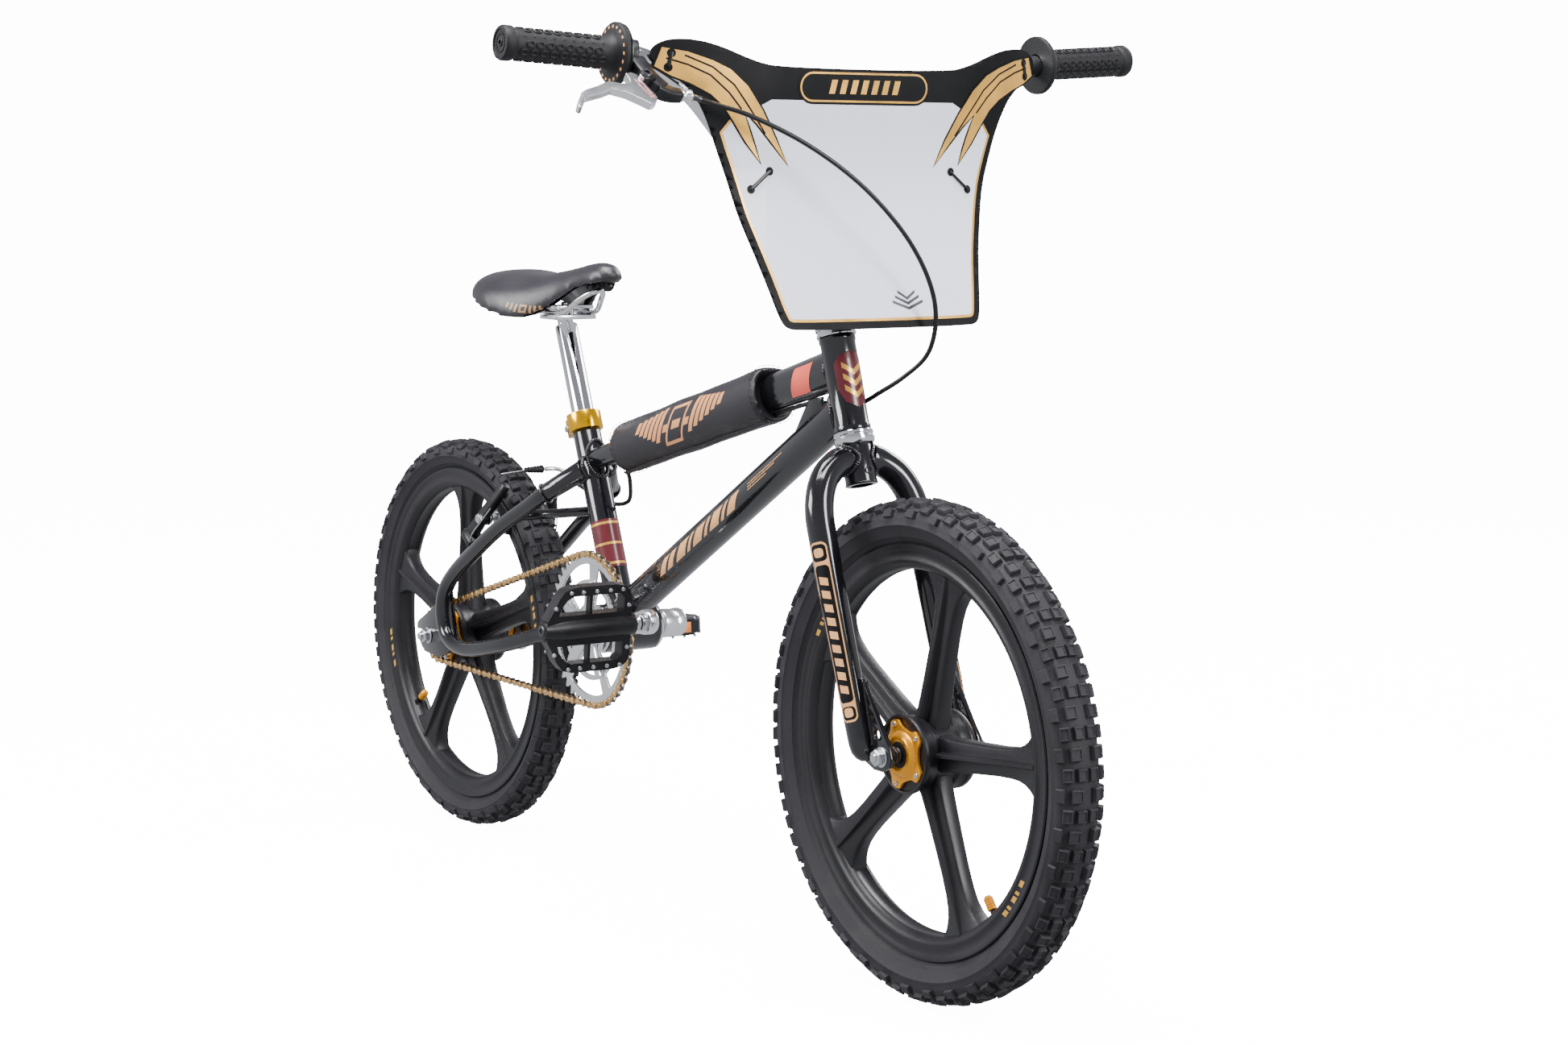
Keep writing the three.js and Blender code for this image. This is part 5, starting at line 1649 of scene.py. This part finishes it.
RAILS = [
    (129, 27, 684), (145, 25, 678), (163, 22.5, 670.5), (181, 22, 668), (224, 22, 668), (254, 22, 668),
    (276, 22, 668), (288, 21, 671), (305, 16, 683), (323, 8, 693), (328, 0, 695.5),
]
rail_line = spline(RAILS + [(x, -y, z) for x, y, z in reversed(RAILS[:-1])], 4)
make("saddle_rail_bars", sweep(rail_line, 3.5, 18), chrome, "seat", "chrome", replaces=["saddle_rails"])

SADDLE_HALF = [
    (0, 14), (0.006, 27), (0.02, 42), (0.045, 53), (0.09, 61), (0.14, 65), (0.24, 68), (0.36, 62),
    (0.5, 45), (0.64, 30), (0.8, 23), (0.92, 20.5), (0.955, 18), (0.98, 13.5), (0.993, 8), (1, 3),
]
SADDLE_TOP = [
    (0, 697), (0.006, 701), (0.02, 706), (0.045, 710.5), (0.08, 713), (0.14, 715), (0.25, 716), (0.4, 713),
    (0.5, 713), (0.6, 717), (0.72, 722), (0.88, 730), (0.94, 729), (0.965, 726.5), (0.985, 722),
    (0.996, 716), (1, 712),
]
SADDLE_SKIRT = [
    (0, 691), (0.02, 686), (0.06, 680), (0.12, 675), (0.2, 669), (0.3, 662), (0.38, 657), (0.45, 657),
    (0.52, 661), (0.62, 675), (0.72, 690), (0.82, 700), (0.95, 704), (0.985, 706.5), (1, 710),
]
SADDLE_START, SADDLE_LENGTH = 96, 270


def smooth_through(pairs, place, reach):
    """The value at a place, averaged over a reach that shrinks towards both ends."""
    reach *= min(1.0, 7 * min(place, 1 - place))
    return sum(through(pairs, min(1.0, max(0.0, place + reach * k / 2))) for k in (-2, -1, 0, 1, 2)) / 5


def saddle_point(u, v, inner):
    """A place on the saddle: u from -1 to 1 goes over it, v from its tail to its nose."""
    x = SADDLE_START + inner + (SADDLE_LENGTH - 2 * inner) * v
    half = smooth_through(SADDLE_HALF, v, 0.035) - 0.8 * inner
    top = smooth_through(SADDLE_TOP, v, 0.05) - inner
    drop = top - smooth_through(SADDLE_SKIRT, v, 0.07) - 0.15 * inner
    turn = abs(u) * math.pi / 2
    across = math.copysign(math.sin(turn) ** 0.85 * half, u) if u else 0.0
    return Vector((x, across, top - drop * (1 - math.cos(turn) ** 0.8)))


def share_rows(count):
    """Shares of the saddle's length, closer together at both ends."""
    return [0.5 - 0.5 * math.cos(math.pi * k / count) for k in range(count + 1)]


def saddle_layer(outer, inner, columns, rows):
    """A shell between two depths under the saddle's surface."""
    shares = [2 * k / columns - 1 for k in range(columns + 1)]
    made = []
    for v in share_rows(rows):
        top = [saddle_point(u, v, outer) for u in shares]
        under = [saddle_point(-u, v, inner) for u in shares]
        made.append(top + under)
    return skin(made)


VOXEL, PRESSURE, STIFFNESS, LAST_FRAME = 0.005, 4.0, 15, 20


def settled(obj, held, most):
    """Fills a soft piece as cloth under pressure, and moves no point by more than most.

    held(point) is how firmly a point stays, from 0 to 1.
    """
    remesh = obj.modifiers.new("even", "REMESH")
    remesh.mode, remesh.voxel_size = "VOXEL", VOXEL
    baked(obj, 180)
    mesh = obj.data
    rest = [v.co.copy() for v in mesh.vertices]
    group = obj.vertex_groups.new(name="held")
    for v in mesh.vertices:
        group.add([v.index], held(v.co), "REPLACE")
    cloth = obj.modifiers.new("filled", "CLOTH")
    values = cloth.settings
    values.quality, values.mass = 5, 0.3
    values.use_pressure, values.uniform_pressure_force = True, PRESSURE
    values.effector_weights.gravity = 0
    values.vertex_group_mass = "held"
    values.tension_stiffness = values.compression_stiffness = STIFFNESS
    cloth.point_cache.frame_start, cloth.point_cache.frame_end = 1, LAST_FRAME
    scene = bpy.context.scene
    for number in range(1, LAST_FRAME + 1):
        scene.frame_set(number)
    graph = bpy.context.evaluated_depsgraph_get()
    puffed = [v.co.copy() for v in obj.evaluated_get(graph).data.vertices]
    obj.modifiers.clear()
    scene.frame_set(1)
    for v, start, end in zip(mesh.vertices, rest, puffed):
        move = end - start
        v.co = start + move * min(1.0, most / max(move.length, 1e-9))
    soften = obj.modifiers.new("soften", "SMOOTH")
    soften.factor, soften.iterations = 0.5, 6
    finer = obj.modifiers.new("finer", "SUBSURF")
    finer.levels = finer.render_levels = 1
    return baked(obj, 180)


cover = make("saddle_skin", saddle_layer(0, 11, 40, 44), saddle_vinyl, None, "saddle_vinyl", angle=70)
settled(cover, lambda p: 1.0 if p.z < 0.690 else 0.3, 0.0012)
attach(cover, "seat")
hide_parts("saddle_cover")
pan = saddle_layer(12.5, 17, 30, 30)
make("saddle_pan", pan, plastic, "seat", "black_plastic", angle=50, replaces=["saddle_base"])
lugs = Shape()
for x, y, z in ((136, 27, 687), (322, 5, 701)):
    for way in (1, -1):
        lugs.join(box((x, way * y, z), (14, 11, 9)))
make("saddle_rail_lugs", lugs, plastic, "seat", "black_plastic", 1.5)
STITCH, STITCH_SPACE, THREAD = 3.6, 2.4, 0.45


def stitches(line):
    """A row of thread stitches along a line that is made of close points."""
    made, run, piece = Shape(), 0.0, []
    for a, b in zip(line, line[1:]):
        piece.append(a)
        run += (b - a).length
        if run >= STITCH + STITCH_SPACE:
            piece, run = [], 0.0
        elif run >= STITCH and len(piece) > 1:
            made.join(sweep([*piece, b], THREAD, 6))
            piece, run = [], -STITCH_SPACE
        elif run < 0:
            piece = []
    return made


# ---- top tube pad ----
PAD_REAR, PAD_FRONT = (Vector((x, 0, top_z(x) - 1)) for x in (395, 706))
PAD_LONG = (PAD_FRONT - PAD_REAR).length
pad_along = (PAD_FRONT - PAD_REAR).normalized()
pad_up = Vector((-pad_along.z, 0, pad_along.x))


def on_pad(along, degrees, grow):
    """A place on the pad: degrees go round from the rider's left side over the top."""
    share = along / PAD_LONG
    a = math.radians(degrees)
    edge = min(along, PAD_LONG - along)
    shrink = 1 - 0.05 * max(0.0, 1 - edge / 5) ** 2
    wave = 0.5 * math.sin(along / 13) * math.sin(math.radians(2 * degrees))
    wave += 0.35 * math.sin(along / 23 + 1.2)
    tall = (29.6 + 1.3 * share) * shrink + grow + wave
    wide = 28.2 * shrink + grow + wave * 0.6
    squared = (abs(math.cos(a)) ** 2.3 + abs(math.sin(a)) ** 2.3) ** (-1 / 2.3)
    side, rise = wide * math.cos(a) * squared, tall * math.sin(a) * squared
    return PAD_REAR + pad_along * along + Vector((0, side, 0)) + pad_up * rise


def pad_print(tree, where, colour):
    """Tan blocks on each side of the pad: a framed middle between leaning strokes that shrink outwards."""
    blocks = [(0.150, 0.018, 0.0, 0.0205), (0.150, 0.027, -0.001, 0.004)]
    for k in range(6):
        out, rise, tall = 0.034 + 0.0105 * k, 0.004 + 0.0012 * k, 0.018 - 0.0024 * k
        blocks += [(0.150 + way * out, 0.0038, rise, tall) for way in (1, -1)]
    holes = [(0.150, 0.0145, 0.0, 0.0170), (0.150, 0.0085, 0.0, 0.0045)]
    ink = (0.78, 0.34, 0.13, 1)
    return printed(tree, where, colour, world(PAD_REAR), TOP_SLOPE, 0.45, blocks, holes, ink)


pad_vinyl = material(
    "pad_vinyl", (0.017, 0.016, 0.0205), 0.42, mottle=0.16, grain=(1300, 0.4), patch=16, shine=0.45,
    extra=pad_print
)
pad_mouth = [
    (PAD_LONG - depth, grow) for depth, grow in ((0.5, -2.6), (3, -5), (11, -7.5), (13, -13), (13.5, -24))
]
pad_places = [
    *[(PAD_LONG - along, grow) for along, grow in reversed(pad_mouth)],
    *[(PAD_LONG * k / 60, 0.0) for k in range(61)], *pad_mouth,
]
pad_rows = [[on_pad(along, 6 * j, grow) for j in range(60)] for along, grow in pad_places]
pad = make("pad_cover", skin(pad_rows), pad_vinyl, None, "pad_vinyl", angle=60)


def pad_held(p):
    """The pad's ends stay where they are, and the rest fills."""
    along = (p / MM - Vector((REAR.x, 0, 0)) - PAD_REAR).dot(pad_along)
    return 1.0 if min(along, PAD_LONG - along) < 9 else 0.25


settled(pad, pad_held, 0.0018)
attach(pad, "frame")
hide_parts("top_tube_pad")
for end, along in (("rear", 8.0), ("front", PAD_LONG - 8.0)):
    ring = [on_pad(along, 4 * j, 0.9) for j in range(91)]
    make(f"pad_stitches_{end}", stitches(ring), grip_rubber, "frame")
flap = [on_pad(4 + (PAD_LONG - 8) * k / 60, -112, 1.0 + 0.8 * math.sin(k / 5)) for k in range(61)]
make("pad_flap_edge", sweep(flap, rounded(0.8, 2.2, 0.6), up=(0, -1, -1)), pad_vinyl, "frame", "pad_vinyl")


# ---- rear brake ----
arm_parts = Shape().join(
    lathe([(4, -12), (8, -12), (8.6, -11), (8.6, 11), (8, 12), (4, 12)], on_brake(170, 54), BRAKE_BACK, 40,
          loop=True),
    sweep([on_brake(170, 53, 2), on_brake(186, 51.6, 2), on_brake(210, 46, 2), on_brake(236, 39.4, 1),
           on_brake(250, 36, 0), on_brake(259, 33.8, 0)],
          lambda t: rounded(8.4 - 3.2 * t, 6.6 - 1.6 * t, 3), up=BRAKE_BACK),
    rod(on_brake(204, 50), on_brake(204, 44), 8.6),
)
shoe = sweep(
    [on_brake(204 - 0.0012 * s * s, 22.8, s) for s in (-27, -24, -14, 0, 14, 24, 27)],
    lambda t: rounded(5.4, 4.2, 1.6) if 0.05 < t < 0.95 else rounded(3.8, 3.0, 1.6), up=BRAKE_OUT,
)
pad_holder = Shape().join(
    rod(on_brake(204, 26.4), on_brake(204, 52), 3.0),
    lathe([(3.2, 0), (8.4, 0), (9, 1), (9, 3.4), (6, 5), (3.2, 5)], on_brake(204, 27), ACROSS, 28, loop=True),
    lathe([(3.2, 0), (7.6, 0), (8.6, 2), (8.6, 4), (3.2, 4)], on_brake(204, 38), ACROSS, 28, loop=True),
    hexagon(on_brake(204, 51.2), ACROSS, 6.4, 5),
    bolt(on_brake(170, 54, 11), BRAKE_BACK, 5.2, 4.2),
)
spring_line = spline([on_brake(172, 60, -8), on_brake(186, 59, -6), on_brake(206, 53, -6),
                      on_brake(226, 46.5, -5)], 3)
for side, way in SIDES:
    body = f"brake_arm_{side}"
    make(f"brake_arm_{side}_lever", arm_parts.sided(way), matt_black, body, "black_metal", 0.6,
         replaces=[f"brake_arm_{side}"])
    make(f"brake_shoe_{side}", shoe.sided(way), grip_rubber, body, "grip_rubber", 0.4,
         replaces=[f"brake_pad_{side}"])
    make(f"brake_hardware_{side}", pad_holder.sided(way), steel, body, "silver_metal", 0.2)
    make(f"brake_spring_{side}", sweep(spring_line, 0.9, 8).sided(way), steel, body)
noodle_line = spline([(205, 37.4, 455.4), (192, 39, 457), (180, 40.5, 459.5), (171, 41.5, 463),
                      (166, 40, 467),
                      (163, 34, 469), (161.5, 27, 469.4), (161, 20, 469.4)], 2)
noodle = Shape().join(
    sweep(noodle_line, 2.6, 16), rod((210, 36.7, 454.8), (200, 38, 456), 3.4),
    rod((161, 22, 469.4), (161, 12, 469.4), 2.0, 1.6),
)
make("brake_noodle", noodle, polished, "frame", "silver_metal")
boot_folds = [(4.6 - 0.16 * k + (0.7 if k % 2 else 0), 2.2 * k) for k in range(12)]
boot = lathe([(1, 0), *boot_folds, (1, 24.4)], (161, 16, 469.4), -ACROSS, 28)
make("brake_boot", boot, grip_rubber, "frame")
wire = rod((161, -8, 469.4), (158, -40, 466), 0.8, sides=10)
make("brake_inner_wire", wire, steel, "frame", "silver_metal")


# ---- floor, light and camera ----
pale = material("pale_floor", (0.90, 0.90, 0.92), 0.6, mottle=0.01, grain=(60, 0.01), patch=2)
glow = pale.node_tree.nodes["Principled BSDF"]
glow.inputs["Emission Color"].default_value = (0.97, 0.97, 1.0, 1)
glow.inputs["Emission Strength"].default_value = 14.0

# A bowl in metres, as (radius, height): a flat floor that curves up into a wall all round.
FLOOR_RADIUS, BEND, WALL_TOP, BOWL_SIDES = 6, 3, 12, 96
bowl_profile = [(0.0001, 0), (2, 0), (4, 0), (FLOOR_RADIUS, 0)]
for degrees in range(10, 91, 10):
    a = math.radians(degrees)
    bowl_profile.append((FLOOR_RADIUS + BEND * math.sin(a), BEND - BEND * math.cos(a)))
bowl_profile += [(FLOOR_RADIUS + BEND, 6), (FLOOR_RADIUS + BEND, WALL_TOP)]
bowl = Shape()
for low, high in zip(bowl_profile, bowl_profile[1:]):
    rings = [(r * x, r * y, z) for r, z in (low, high) for x, y in circle(1, BOWL_SIDES)]
    around = [(k, (k + 1) % BOWL_SIDES) for k in range(BOWL_SIDES)]
    bowl.add(rings, [(a, b, BOWL_SIDES + b, BOWL_SIDES + a) for a, b in around])
floor_mesh = bpy.data.meshes.new("floor")
floor_mesh.from_pydata(bowl.points, [], bowl.faces)
floor_mesh.materials.append(pale)
floor_mesh.shade_smooth()
floor = bpy.data.objects.new("floor", floor_mesh)
bpy.context.scene.collection.objects.link(floor)
floor.visible_diffuse = floor.visible_glossy = floor.visible_shadow = floor.visible_transmission = False

scene = bpy.context.scene
sky = bpy.data.worlds.new("studio")
scene.world = sky
sky.use_nodes = True
backdrop = sky.node_tree.nodes["Background"]
up_down = node(sky.node_tree, "ShaderNodeSeparateXYZ", {
    "Vector": node(sky.node_tree, "ShaderNodeTexCoord").outputs["Generated"]
})
sky_tones = node(sky.node_tree, "ShaderNodeValToRGB", {"Fac": up_down.outputs["Z"]})
sky_ends = ((0.0, (0.62, 0.63, 0.66, 1)), (0.6, (0.30, 0.30, 0.33, 1)))
for element, (place, tone) in zip(sky_tones.color_ramp.elements, sky_ends):
    element.position, element.color = place, tone
sky.node_tree.links.new(sky_tones.outputs["Color"], backdrop.inputs["Color"])
backdrop.inputs["Strength"].default_value = 1.1


def area(name, place, aim, size, power):
    """A soft rectangular light at a place, pointing at aim."""
    data = bpy.data.lights.new(name, "AREA")
    data.shape, data.energy = "RECTANGLE", power
    data.size, data.size_y = size
    lamp = bpy.data.objects.new(name, data)
    scene.collection.objects.link(lamp)
    lamp.location = place
    lamp.rotation_mode = "QUATERNION"
    lamp.rotation_quaternion = (Vector(aim) - Vector(place)).to_track_quat("-Z", "Y")


area("softbox_top", (0.4, -0.6, 3.4), (0, 0, 0.4), (2.6, 1.8), 260)
area("softbox_right", (-1.4, -3.2, 1.9), (0, 0, 0.5), (1.8, 1.2), 130)
area("softbox_front", (3.4, 1.0, 1.9), (0.2, 0, 0.5), (1.0, 1.8), 125)
area("softbox_left", (-0.8, 3.2, 2.2), (0, 0, 0.5), (2.0, 1.2), 90)

CAMERA_AT = Vector((2.88129, -1.77036, 0.84407))
CAMERA_YAW, CAMERA_PITCH, CAMERA_ROLL = math.radians(146.323), math.radians(-6.832), math.radians(0.287)
lens = bpy.data.cameras.new("camera")
lens.lens, lens.sensor_width, lens.clip_start = 68.66, 36, 0.05
eye = bpy.data.objects.new("camera", lens)
scene.collection.objects.link(eye)
scene.camera = eye
level = math.cos(CAMERA_PITCH)
ahead = Vector((level * math.cos(CAMERA_YAW), level * math.sin(CAMERA_YAW), math.sin(CAMERA_PITCH)))
right = ahead.cross(UP).normalized()
upward = right.cross(ahead)
c, s = math.cos(CAMERA_ROLL), math.sin(CAMERA_ROLL)
right, upward = right * c + upward * s, upward * c - right * s
back = -ahead
eye.matrix_world = Matrix((
    (right.x, upward.x, back.x, CAMERA_AT.x), (right.y, upward.y, back.y, CAMERA_AT.y),
    (right.z, upward.z, back.z, CAMERA_AT.z), (0, 0, 0, 1),
))
